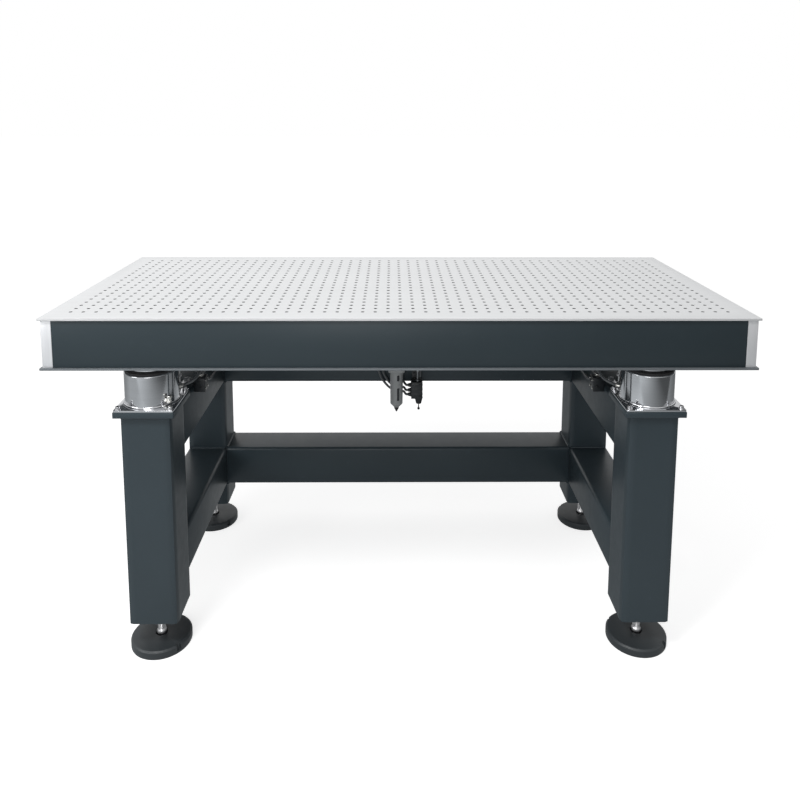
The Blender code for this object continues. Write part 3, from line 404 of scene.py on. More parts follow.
def rough_solid(name, tone, roughness, texture, strength, fade=0.12):
    """Rubber, plastic or a casting: a dull tone with a grained surface."""
    tree, shader, place = new_finish(name)
    grain = noise(tree, place, texture, 4.0, 0.6)
    tree.links.new(uneven_tone(tree, grain, tone, fade), shader.inputs["Base Color"])
    tree.links.new(spread(tree, grain, roughness * 0.88, roughness * 1.1), shader.inputs["Roughness"])
    relief(tree, shader, grain, strength, 0.0004)


def make_finishes(scene):
    top, tubes, cups = scene.platform_top, scene.platform_frame, scene.platform_isolators
    feet, air = scene.platform_feet, scene.platform_air
    along_x, round_z = (6.0, 420.0, 420.0), (6.0, 6.0, 900.0)
    brushed_metal("satin steel", top.steel_colour, 0.40, along_x, contrast=0.035, metallic=0.9)
    brushed_metal("skin edge", top.edge_colour, 0.60, along_x, contrast=0.02, metallic=0.1)
    brushed_metal("bright post", top.post_colour, 0.48, (420.0, 420.0, 8.0), contrast=0.03, metallic=0.55)
    brushed_metal("lower skin", top.lip_colour, 0.46, along_x, contrast=0.10, metallic=0.25)
    brushed_metal("turned steel", cups.steel_colour, 0.11, round_z, contrast=0.06)
    brushed_metal("zinc plate", feet.zinc_colour, 0.30, (60.0, 60.0, 60.0), 0.10, 3.0)
    brushed_metal("dull pin", (0.24, 0.25, 0.26), 0.42, (60.0, 60.0, 60.0), 0.10, 3.0)
    brushed_metal("nickel fitting", (0.66, 0.65, 0.62), 0.20, round_z, contrast=0.04)
    brushed_metal("core foil", (0.60, 0.61, 0.62), 0.40, (40.0, 40.0, 40.0), 0.05, 2.0)
    painted_metal("charcoal sheet", top.panel_colour, 0.40, 900.0, 0.05, 0.05, gloss=0.29)
    painted_metal("powder coat", tubes.paint_colour, 0.38, 620.0, 0.10, 0.08, gloss=0.32, chips=0.06)
    painted_metal("cast foot", feet.cast_colour, 0.46, 240.0, 0.35, 0.12, chips=0.15)
    painted_metal("valve black", air.valve_colour, 0.38, 700.0, 0.08, 0.10)
    painted_metal("guard grey", air.guard_colour, 0.40, 500.0, 0.10, 0.08, chips=0.05)
    rough_solid("stop rubber", cups.rubber_colour, 0.72, 380.0, 0.25)
    rough_solid("knob plastic", air.knob_colour, 0.50, 900.0, 0.15)
    # The dark hole finish is the sealing cup's own tone, and painted shade on the countersinks and walls of
    # the holes
    rough_solid("hole cup", (0.090, 0.092, 0.095), 0.60, 300.0, 0.10)
    rough_solid("hose nylon", air.hose_colour, 0.36, 160.0, 0.04, 0.06)
    rough_solid("release ring", (0.030, 0.031, 0.034), 0.42, 500.0, 0.05)
    rough_solid("sight window", (0.034, 0.037, 0.041), 0.24, 60.0, 0.02)


def rounded_square(width, depth, corner, steps=6):
    """A rectangle about the origin with round corners, counter-clockwise from the +X side."""
    x, y = width / 2 - corner, depth / 2 - corner
    points = []
    for centre_x, centre_y, start in ((x, y, 0), (-x, y, 90), (-x, -y, 180), (x, -y, 270)):
        for i in range(steps + 1):
            angle = math.radians(start + 90 * i / steps)
            points.append((centre_x + corner * math.cos(angle), centre_y + corner * math.sin(angle)))
    return points


def polygon(radius, count, turn=0.0):
    angles = [turn + math.tau * i / count for i in range(count)]
    return [(radius * math.cos(a), radius * math.sin(a)) for a in angles]


def softened(points, size, steps):
    """A profile whose inner corners are rounded off by up to this size."""
    points = [Vector(point) for point in points]
    soft = [points[0]]
    for before, corner, after in zip(points, points[1:], points[2:]):
        reach = min(size, (before - corner).length * 0.45, (after - corner).length * 0.45)
        start = corner + (before - corner).normalized() * reach
        end = corner + (after - corner).normalized() * reach
        for i in range(steps + 1):
            t = i / steps
            soft.append(start.lerp(corner, t).lerp(corner.lerp(end, t), t))
    soft.append(points[-1])
    return soft


def aimed(point, direction):
    """The place of a shape whose own Z axis points this way from this point."""
    turn = Vector(direction).to_track_quat("Z", "Y").to_matrix().to_4x4()
    return Matrix.Translation(Vector(point)) @ turn


def upright(centre, height=0):
    """The place of a shape whose own Z axis stands over this point's X and Y."""
    return Matrix.Translation((centre.x, centre.y, height))


def around(centre, half_x, half_y, low, high):
    """The two corners of a box about an upright axis, between two heights."""
    return (centre.x - half_x, centre.y - half_y, low), (centre.x + half_x, centre.y + half_y, high)


class Shape:
    """One piece in the making. Each shape that is added has a place and the number of its finish."""

    def __init__(self):
        self.bm = bmesh.new()

    def settle(self, first_vert, first_face, place, finish):
        if place is not None:
            moved = list(self.bm.verts)[first_vert:]
            bmesh.ops.transform(self.bm, matrix=place, verts=moved)
        for face in list(self.bm.faces)[first_face:]:
            face.material_index = finish

    def loops(self, rings, place, finish=0):
        """A skin over rings with the same number of points, capped at the first and the last one."""
        start = (len(self.bm.verts), len(self.bm.faces))
        made = [[self.bm.verts.new(point) for point in ring] for ring in rings]
        for ring, after in zip(made, made[1:]):
            for i, vert in enumerate(ring):
                j = (i + 1) % len(ring)
                self.bm.faces.new((vert, ring[j], after[j], after[i]))
        self.bm.faces.new(list(reversed(made[0])))
        self.bm.faces.new(made[-1])
        self.settle(*start, place, finish)

    def turned(self, profile, place, finish, facets, closed=False):
        """A turned shape from radius and height. A profile that starts and ends on the axis is solid."""
        start = (len(self.bm.verts), len(self.bm.faces))
        rings = []
        for radius, height in profile:
            if radius < 1e-7:
                rings.append([self.bm.verts.new((0, 0, height))])
            else:
                rings.append([self.bm.verts.new((x, y, height)) for x, y in polygon(radius, facets)])
        pairs = list(zip(rings, rings[1:]))
        if closed:
            pairs.append((rings[-1], rings[0]))
        for ring, after in pairs:
            for i in range(facets):
                j = (i + 1) % facets
                corners = [ring[i % len(ring)], ring[j % len(ring)]]
                corners += [after[j % len(after)], after[i % len(after)]]
                distinct = list(dict.fromkeys(corners))
                if len(distinct) > 2:
                    self.bm.faces.new(distinct)
        self.settle(*start, place, finish)

    def prism(self, outline, low, high, edge, place=None, finish=0, steps=2):
        """An outline drawn out from low to high, with its two rims rounded."""
        inset = rim_offsets(outline, edge)
        pairs = list(zip(outline, inset))
        arcs = [math.pi / 2 * i / steps for i in range(steps + 1)]
        rings = []
        for end, sign in ((low, 1), (high, -1)):
            rows = [(1 - math.sin(a), end + sign * edge * (1 - math.cos(a))) for a in arcs]
            rows = [[(x - share * dx, y - share * dy, z) for (x, y), (dx, dy) in pairs] for share, z in rows]
            rings += rows if sign == 1 else list(reversed(rows))
        self.loops(rings, place, finish)

    def block(self, low, high, edge, steps=2):
        """A box between two corners with all of its edges rounded."""
        low, high = Vector(low), Vector(high)
        box = bmesh.new()
        matrix = Matrix.Translation((low + high) / 2) @ Matrix.Diagonal((*(high - low), 1.0))
        bmesh.ops.create_cube(box, size=1.0, matrix=matrix)
        bmesh.ops.bevel(box, geom=box.edges, offset=edge, segments=steps, profile=0.5, affect="EDGES")
        box.verts.index_update()
        made = [self.bm.verts.new(vert.co) for vert in box.verts]
        for face in box.faces:
            self.bm.faces.new([made[vert.index] for vert in face.verts])
        box.free()

    def bar(self, start, end, radius, finish, edge=0.0004, facets=24):
        """A round bar from one point to another, with rounded rims."""
        along = Vector(end) - Vector(start)
        profile = [(0, 0), (radius, 0), (radius, along.length), (0, along.length)]
        self.turned(softened(profile, edge, 2), aimed(start, along), finish, facets)

    def ball(self, centre, radius, finish, facets):
        rows = facets // 2
        angles = [math.pi * i / rows for i in range(rows + 1)]
        profile = [(max(radius * math.sin(a), 0.0), radius * math.cos(a)) for a in angles]
        profile[0], profile[-1] = (0.0, radius), (0.0, -radius)
        self.turned(profile, Matrix.Translation(centre), finish, facets)

    def tube(self, path, radius):
        """A round tube that follows a path without twisting."""
        facets = 14
        heading = (path[1] - path[0]).normalized()
        side = heading.orthogonal().normalized()
        rings = []
        for i, point in enumerate(path):
            ahead = path[min(i + 1, len(path) - 1)] - path[max(i - 1, 0)]
            turn = heading.rotation_difference(ahead.normalized())
            side = turn @ side
            heading = ahead.normalized()
            up = heading.cross(side)
            rings.append([point + side * x + up * y for x, y in polygon(radius, facets)])
        self.loops(rings, None)

    def pierced(self, outline, low, high, hole_radius, hole_depth, place, facets):
        """A prism with a round blind hole in its lower face."""
        outer = resampled(outline, facets)
        hole = polygon(hole_radius, facets)
        rings = [
            [(x, y, low + hole_depth) for x, y in hole],
            [(x, y, low) for x, y in hole],
            [(x, y, low) for x, y in outer],
            [(x, y, high) for x, y in outer],
        ]
        self.loops(rings, place)

    def finished(self, name, finishes, sharp=SHARP_ANGLE):
        """The object made from the shapes, smooth except at sharp edges, with outward faces."""
        bmesh.ops.recalc_face_normals(self.bm, faces=self.bm.faces)
        mesh = bpy.data.meshes.new(name)
        self.bm.to_mesh(mesh)
        self.bm.free()
        for finish in finishes:
            mesh.materials.append(FINISHES[finish])
        mesh.shade_smooth()
        mesh.set_sharp_from_angle(angle=math.radians(sharp))
        return added(name, mesh)


def rim_offsets(outline, distance):
    """How far each point of an outline moves outwards when its edges move out by a distance."""
    points = [Vector(point) for point in outline]
    offsets = []
    for i, point in enumerate(points):
        before, after = points[i - 1], points[(i + 1) % len(points)]
        first = (point - before).normalized()
        second = (after - point).normalized()
        normal = Vector((first.y + second.y, -first.x - second.x)).normalized()
        lean = max(normal.dot(Vector((first.y, -first.x))), 0.5)
        offsets.append(tuple(normal * distance / lean))
    return offsets


def resampled(outline, count):
    """The points where evenly turned rays from the middle meet an outline."""
    points = [Vector(point) for point in outline]
    found = []
    for ray in polygon(1.0, count):
        ray = Vector(ray)
        best = None
        for start, end in zip(points, points[1:] + points[:1]):
            edge = end - start
            area = ray.cross(edge)
            if abs(area) < 1e-12:
                continue
            reach = start.cross(edge) / area
            share = start.cross(ray) / area
            if reach > 0 and -1e-6 <= share <= 1 + 1e-6:
                best = reach if best is None else max(best, reach)
        found.append(tuple(ray * best))
    return found


def dress(obj, body, slot, *nodes):
    """The piece rides on a body and stands for these nodes, which it hides; the slot is not used."""
    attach(obj, body)
    if nodes:
        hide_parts(*nodes)
    return obj


def repaint(node, finish):
    """Gives a CAD node that is shown a finish of the scene."""
    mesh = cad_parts[node].data
    mesh.materials.clear()
    mesh.materials.append(FINISHES[finish])


def new_tree(name, inputs):
    """A Geometry Nodes group with named inputs."""
    tree = bpy.data.node_groups.new(name, "GeometryNodeTree")
    tree.interface.new_socket("Geometry", in_out="INPUT", socket_type="NodeSocketGeometry")
    for label, kind in inputs.items():
        tree.interface.new_socket(label, in_out="INPUT", socket_type=f"NodeSocket{kind}")
    tree.interface.new_socket("Geometry", in_out="OUTPUT", socket_type="NodeSocketGeometry")
    return tree, tree.nodes.new("NodeGroupInput").outputs


def end_tree(tree, geometry):
    output = tree.nodes.new("NodeGroupOutput")
    tree.links.new(geometry, output.inputs["Geometry"])


def run_tree(obj, tree, values, sharp=SHARP_ANGLE):
    """Runs a Geometry Nodes group on an object and keeps the result as its plain mesh."""
    modifier = obj.modifiers.new(tree.name, "NODES")
    modifier.node_group = tree
    for item in tree.interface.items_tree:
        if item.in_out == "INPUT" and item.name in values:
            modifier[item.identifier] = values[item.name]
    name = obj.name
    bpy.context.view_layer.update()
    evaluated = obj.evaluated_get(bpy.context.evaluated_depsgraph_get())
    mesh = bpy.data.meshes.new_from_object(evaluated)
    bpy.data.objects.remove(obj)
    mesh.set_sharp_from_angle(angle=math.radians(sharp))
    return added(name, mesh)


def cut_out(obj, cutter):
    """Cuts the shape of one object out of another, and removes the cutter."""
    step = obj.modifiers.new("cut", "BOOLEAN")
    step.operation = "DIFFERENCE"
    step.solver = "EXACT"
    step.object = cutter
    bpy.context.view_layer.update()
    mesh = bpy.data.meshes.new_from_object(obj.evaluated_get(bpy.context.evaluated_depsgraph_get()))
    obj.modifiers.clear()
    obj.data = mesh
    mesh.set_sharp_from_angle(angle=math.radians(SHARP_ANGLE))
    bpy.data.objects.remove(cutter)


def hole_tile(top):
    """One square of the skin's surface with a countersunk hole, the pattern's unit."""
    facets = 12
    bm = bmesh.new()
    in_cup = bm.faces.layers.bool.new("in_cup")
    half = top.hole_pitch / 2
    start = math.pi / 4
    corners = [bm.verts.new((x, y, 0)) for x, y in polygon(half * math.sqrt(2), 4, start)]
    rings = []
    for radius, depth in (
        (top.sink_radius, 0.0),
        (top.hole_radius, top.sink_depth),
        (top.hole_radius, top.well_depth),
    ):
        rings.append([bm.verts.new((x, y, -depth)) for x, y in polygon(radius, facets, start)])
    side = facets // 4
    for i in range(4):
        rim = [rings[0][(side * i + k) % facets] for k in range(side, -1, -1)]
        bm.faces.new([corners[i], corners[(i + 1) % 4], *rim])
    # The countersink, the hole's wall and its floor take the dark finish: painted shade in the hole over the
    # steel, and the sealing cup's own tone at the floor
    for level in range(2):
        for i in range(facets):
            j = (i + 1) % facets
            upper, lower = rings[level], rings[level + 1]
            face = bm.faces.new((upper[i], upper[j], lower[j], lower[i]))
            face.smooth = True
            face[in_cup] = True
    bm.faces.new(rings[2])[in_cup] = True
    mesh = bpy.data.meshes.new("hole_tile")
    bm.to_mesh(mesh)
    bm.free()
    return added("hole_tile", mesh)


def skin_border(top):
    """The skin's margin round the hole pattern, its edges and its lower face."""
    low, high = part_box("top_skin")
    size = high - low
    edge = top.edge_radius
    corner = 0.003
    bm = bmesh.new()
    on_edge = bm.faces.layers.bool.new("on_edge")
    rings = []
    rows = (
        (edge, high.z),
        (edge * 0.3, high.z - edge * 0.3),
        (0.0, high.z - edge),
        (0.0, low.z + edge / 2),
    )
    for inset, z in rows:
        outline = rounded_square(size.x - 2 * inset, size.y - 2 * inset, corner - inset, 4)
        rings.append([bm.verts.new((x, y, z)) for x, y in outline])
    outline = rounded_square(size.x - edge, size.y - edge, corner - edge / 2, 4)
    rings.append([bm.verts.new((x, y, low.z)) for x, y in outline])
    for ring, after in zip(rings, rings[1:]):
        for i, vert in enumerate(ring):
            j = (i + 1) % len(ring)
            face = bm.faces.new((after[i], after[j], ring[j], vert))
            face.smooth = True
            face[on_edge] = True
    bm.faces.new(list(reversed(rings[-1])))

    reach_x = top.hole_pitch * top.hole_columns / 2
    reach_y = top.hole_pitch * top.hole_rows / 2
    xs = [-reach_x + top.hole_pitch * i for i in range(top.hole_columns + 1)]
    ys = [-reach_y + top.hole_pitch * i for i in range(top.hole_rows + 1)]
    sides = [
        [(reach_x, y) for y in ys],
        [(x, reach_y) for x in reversed(xs)],
        [(-reach_x, y) for y in reversed(ys)],
        [(x, -reach_y) for x in xs],
    ]
    known = {}
    rim = rings[0]
    per_corner = len(rim) // 4
    for i, side in enumerate(sides):
        inner = []
        for x, y in side:
            key = (round(x, 5), round(y, 5))
            if key not in known:
                known[key] = bm.verts.new((x, y, high.z))
            inner.append(known[key])
        # From the middle of the corner before this side to the middle of the one after it
        first = per_corner * (i - 1) + per_corner // 2
        outer = [rim[(first + k) % len(rim)] for k in range(per_corner + 1)]
        bm.faces.new([*outer, *reversed(inner)])
    mesh = bpy.data.meshes.new("skin_border")
    bm.to_mesh(mesh)
    bm.free()
    return added("top_skin_perforated", mesh)


def copies(tree, points, source):
    """A real copy of an object on each point."""
    piece = grown(tree, "GeometryNodeObjectInfo", {"Object": source})
    links = {"Points": points, "Instance": piece.outputs["Geometry"]}
    laid = grown(tree, "GeometryNodeInstanceOnPoints", links)
    real = grown(tree, "GeometryNodeRealizeInstances", {"Geometry": laid.outputs["Instances"]})
    return real.outputs["Geometry"]


def coated(tree, geometry, material, **links):
    """The geometry with a material, all of it unless a selection is linked."""
    links = {"Geometry": geometry, "Material": material, **links}
    return grown(tree, "GeometryNodeSetMaterial", links).outputs["Geometry"]


def hole_pattern_tree():
    """Lays a tile at each point of a grid and joins the tiles with the border."""
    tree, given = new_tree(
        "hole_pattern",
        {
            "Tile": "Object",
            "Columns": "Int",
            "Rows": "Int",
            "Pitch": "Float",
            "Height": "Float",
            "Steel": "Material",
            "Edge": "Material",
            "Cup": "Material",
        },
    )
    size_x, size_y = (
        calculated(tree, "MULTIPLY", calculated(tree, "SUBTRACT", given[count], 1.0), given["Pitch"])
        for count in ("Columns", "Rows")
    )
    grid = grown(
        tree,
        "GeometryNodeMeshGrid",
        {"Size X": size_x, "Size Y": size_y, "Vertices X": given["Columns"], "Vertices Y": given["Rows"]},
    )
    height = grown(tree, "ShaderNodeCombineXYZ", {"Z": given["Height"]})
    links = {"Geometry": grid.outputs["Mesh"], "Offset": height.outputs["Vector"]}
    raised = grown(tree, "GeometryNodeSetPosition", links)
    tiles = copies(tree, raised.outputs["Geometry"], given["Tile"])
    joined = grown(tree, "GeometryNodeJoinGeometry", {"Geometry": tiles})
    tree.links.new(given["Geometry"], joined.inputs["Geometry"])
    links = {"Geometry": joined.outputs["Geometry"], "Distance": 0.00002}
    merged = grown(tree, "GeometryNodeMergeByDistance", links)
    dressed = coated(tree, merged.outputs["Geometry"], given["Steel"])
    # The hole faces take the dark finish, which is partly painted shade in the holes
    for mark, finish in (("on_edge", "Edge"), ("in_cup", "Cup")):
        marked = grown(tree, "GeometryNodeInputNamedAttribute", {"Name": mark}, data_type="BOOLEAN")
        dressed = coated(tree, dressed, given[finish], Selection=marked.outputs["Attribute"])
    end_tree(tree, dressed)
    return tree


def scatter_tree():
    """Puts a copy of one object on each point of a mesh."""
    tree, given = new_tree("fasteners", {"Fastener": "Object", "Material": "Material"})
    pieces = copies(tree, given["Geometry"], given["Fastener"])
    end_tree(tree, coated(tree, pieces, given["Material"]))
    return tree


def weld_tree():
    """A rippled bead along each curve."""
    tree, given = new_tree("weld_bead", {"Radius": "Float", "Ripple": "Float", "Material": "Material"})
    links = {"Curve": given["Geometry"], "Length": calculated(tree, "MULTIPLY", given["Ripple"], 0.25)}
    sampled = grown(tree, "GeometryNodeResampleCurve", links, mode="LENGTH")
    along = tree.nodes.new("GeometryNodeSplineParameter").outputs["Length"]
    turns = calculated(tree, "DIVIDE", along, given["Ripple"])
    wave = calculated(tree, "SINE", calculated(tree, "MULTIPLY", turns, math.tau))
    swell = calculated(tree, "MULTIPLY_ADD", wave, 0.07, 0.82)
    uneven = grown(tree, "ShaderNodeTexNoise", {"Scale": 90.0, "Detail": 1.0})
    size = calculated(tree, "MULTIPLY_ADD", uneven.outputs["Fac"], 0.36, swell)
    links = {"Resolution": 10, "Radius": given["Radius"]}
    round_bead = grown(tree, "GeometryNodeCurvePrimitiveCircle", links)
    swept = grown(
        tree,
        "GeometryNodeCurveToMesh",
        {
            "Curve": sampled.outputs["Curve"],
            "Profile Curve": round_bead.outputs["Curve"],
            "Scale": size,
            "Fill Caps": True,
        },
    )
    smooth = grown(tree, "GeometryNodeSetShadeSmooth", {"Geometry": swept.outputs["Mesh"]})
    real = grown(tree, "GeometryNodeRealizeInstances", {"Geometry": smooth.outputs["Geometry"]})
    end_tree(tree, coated(tree, real.outputs["Geometry"], given["Material"]))
    return tree


def smooth_route(points):
    """A centripetal Catmull-Rom curve through the points."""
    samples = 14
    points = [Vector(point) for point in points]
    ends = [2 * points[0] - points[1], *points, 2 * points[-1] - points[-2]]
    route = [points[0]]
    for p0, p1, p2, p3 in zip(ends, ends[1:], ends[2:], ends[3:]):
        t1 = math.sqrt((p1 - p0).length)
        t2 = t1 + math.sqrt((p2 - p1).length)
        t3 = t2 + math.sqrt((p3 - p2).length)
        for i in range(1, samples + 1):
            t = t1 + (t2 - t1) * i / samples
            a1 = p0.lerp(p1, t / t1)
            a2 = p1.lerp(p2, (t - t1) / (t2 - t1))
            a3 = p2.lerp(p3, (t - t2) / (t3 - t2))
            b1 = a1.lerp(a2, t / t2)
            b2 = a2.lerp(a3, (t - t1) / (t3 - t1))
            route.append(b1.lerp(b2, (t - t1) / (t2 - t1)))
    return route


def socket_screw(shape, radius, height, place, finish=0):
    """A cylinder head with a hexagon socket, on its own Z axis from zero up."""
    facets = 24
    edge = radius * 0.14
    flats = radius * 0.52
    rows = [(radius, 0.0), (radius, height - edge), (radius - edge, height)]
    outer = [[(x, y, z) for x, y in polygon(r, facets)] for r, z in rows]
    hexagon = resampled(polygon(flats, 6), facets)
    inner = [[(x, y, height) for x, y in hexagon], [(x, y, height * 0.45) for x, y in hexagon]]
    shape.loops([*outer, *inner], place, finish)


def fitting(shape, tip, direction, reach, radius, metal, ring):
    """A push-in hose fitting whose body ends at the hose's tip, with a hexagon foot and a release ring."""
    direction = Vector(direction).normalized()
    foot = Vector(tip) - direction * reach
    shape.prism(polygon(radius * 1.18, 6), 0.0, reach * 0.38, 0.0004, aimed(foot, direction), metal)
    profile = [
        (0, reach * 0.3),
        (radius * 0.98, reach * 0.3),
        (radius * 0.98, reach * 0.92),
        (radius * 0.80, reach + 0.0008),
        (0, reach + 0.0008),
    ]
    shape.turned(softened(profile, 0.0005, 2), aimed(foot, direction), metal, 32)
    profile = [(0, reach), (radius * 0.74, reach), (radius * 0.74, reach + 0.0024), (0, reach + 0.0024)]
    shape.turned(softened(profile, 0.0004, 2), aimed(foot, direction), ring, 32)


class PLATFORM_OT_table_top(bpy.types.Operator):
    """Makes the perforated upper skin from one tile and a grid of points"""

    bl_idname = "platform.table_top"
    bl_label = "Perforated Top"

    def execute(self, context):
        top = context.scene.platform_top
        tile = hole_tile(top)
        values = {
            "Tile": tile,
            "Columns": top.hole_columns,
            "Rows": top.hole_rows,
            "Pitch": top.hole_pitch,
            "Height": FLOOR_TO_TOP,
            "Steel": FINISHES["satin steel"],
            "Edge": FINISHES["skin edge"],
            "Cup": FINISHES["hole cup"],
        }
        skin = run_tree(skin_border(top), hole_pattern_tree(), values)
        bpy.data.objects.remove(tile)
        dress(skin, "tabletop", "top_skin", "top_skin")
        return {"FINISHED"}


class PLATFORM_OT_table_sides(bpy.types.Operator):
    """Makes the lower skin with its lip, the side panels and the bright corner posts"""

    bl_idname = "platform.table_sides"
    bl_label = "Table Sides"

    def execute(self, context):
        top = context.scene.platform_top
        shape = Shape()
        low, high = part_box("bottom_skin")
        size = high - low
        outline = rounded_square(size.x, size.y, 0.003, 4)
        shape.prism(outline, low.z, high.z, top.edge_radius)
        dress(shape.finished("bottom_skin_lip", ["lower skin"]), "tabletop", "bottom_skin", "bottom_skin")

        for side in ("front", "rear", "left", "right"):
            node = f"side_panel_{side}"
            shape = Shape()
            shape.block(*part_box(node), 0.0004)
            dress(shape.finished(f"{node}_sheet", ["charcoal sheet"]), "tabletop", "side_panel", node)

        thick, bend = 0.004, 0.0012
        turns = (0.0, 0.52, 1.05, math.pi / 2)
        outer = [(bend * (1 - math.cos(a)), bend * (1 - math.sin(a))) for a in turns]
        for quarter, corner in enumerate(CORNERS):
            node = f"corner_post_{corner}"
            low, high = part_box(node)
            sign_x, sign_y = CORNERS[corner]
            width = high.x - low.x
            angle = [*outer, (width, 0), (width, thick), (thick, thick), (thick, width), (0, width)]
            reach_x = max(abs(low.x), abs(high.x))
            reach_y = max(abs(low.y), abs(high.y))
            place = Matrix.Translation((sign_x * reach_x, sign_y * reach_y, 0))
            shape = Shape()
            shape.prism(angle, low.z, high.z, 0.0003, place @ Matrix.Rotation(math.pi / 2 * quarter, 4, "Z"))
            dress(shape.finished(f"{node}_angle", ["bright post"]), "tabletop", "corner_post", node)
        repaint("honeycomb_core", "core foil")
        return {"FINISHED"}


class PLATFORM_OT_frame_tubes(bpy.types.Operator):
    """Makes the legs with their cap plates and nuts, and the rails between them"""

    bl_idname = "platform.frame_tubes"
    bl_label = "Frame Tubes"

    def execute(self, context):
        tubes = context.scene.platform_frame
        size = tubes.tube_size
        section = rounded_square(size, size, tubes.corner_radius)
        cap_low = CAP_TOP - CAP_THICKNESS
        bore, bore_depth, nut_depth = 0.0086, 0.058, 0.0105
        nut = polygon(0.0156, 6, math.pi / 6)
        for corner, centre in LEG.items():
            node = f"leg_{corner}"
            place = upright(centre)
            shape = Shape()
            shape.pierced(section, LEG_BOTTOM, cap_low, bore, bore_depth, place, facets=64)
            low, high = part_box(node)
            cap = rounded_square(high.x - low.x, high.y - low.y, 0.002, 3)
            shape.prism(cap, cap_low, high.z, 0.0009, place)
            shape.pierced(nut, low.z, LEG_BOTTOM + 0.001, bore, nut_depth, place, facets=36)
            dress(shape.finished(f"{node}_tube", ["powder coat"]), "frame", "frame_paint", node)

        # The rails reach into the rounded corners of the legs, where the welds are ground flush
        overlap = tubes.corner_radius
        for node, axis in RAILS.items():
            low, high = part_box(node)
            centre = (low + high) / 2
            reach = (high[axis] - low[axis]) / 2 + overlap
            direction = Vector((0, 0, 0))
            direction[axis] = 1.0
            shape = Shape()
            shape.prism(section, -reach, reach, 0.0002, aimed(centre, direction))
            dress(shape.finished(f"{node}_tube", ["powder coat"]), "frame", "frame_paint", node)
        return {"FINISHED"}


class PLATFORM_OT_weld_beads(bpy.types.Operator):
    """Lays rippled weld beads where the rails and cap plates meet the legs"""

    bl_idname = "platform.weld_beads"
    bl_label = "Weld Beads"

    def execute(self, context):
        tubes = context.scene.platform_frame
        flat = tubes.tube_size / 2 - tubes.corner_radius * 0.6
        runs = []
        for node, axis in RAILS.items():
            low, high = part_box(node)
            centre = (low + high) / 2
            across = 1 - axis
            for end in (low[axis], high[axis]):
                for height in (low.z, high.z):
                    run = []
                    for offset in (-flat, -flat / 2, 0.0, flat / 2, flat):
                        point = Vector((0, 0, height))
                        point[axis] = end
                        point[across] = centre[across] + offset
                        run.append(point)
                    runs.append((run, False))
        bead_height = CAP_TOP - 0.0125
        width = tubes.tube_size + 0.002
        ring = rounded_square(width, width, tubes.corner_radius)
        for centre in LEG.values():
            runs.append(([Vector((centre.x + x, centre.y + y, bead_height)) for x, y in ring], True))
        curve = bpy.data.curves.new("weld_beads", "CURVE")
        curve.dimensions = "3D"
        for run, cyclic in runs:
            spline = curve.splines.new("POLY")
            spline.points.add(len(run) - 1)
            for point, position in zip(spline.points, run):
                point.co = (*position, 1.0)
            spline.use_cyclic_u = cyclic
        beads = added("weld_beads", curve)
        values = {"Radius": tubes.bead_radius, "Ripple": tubes.ripple, "Material": FINISHES["powder coat"]}
        dress(run_tree(beads, weld_tree(), values, 80.0), "frame", "frame_paint")
        return {"FINISHED"}


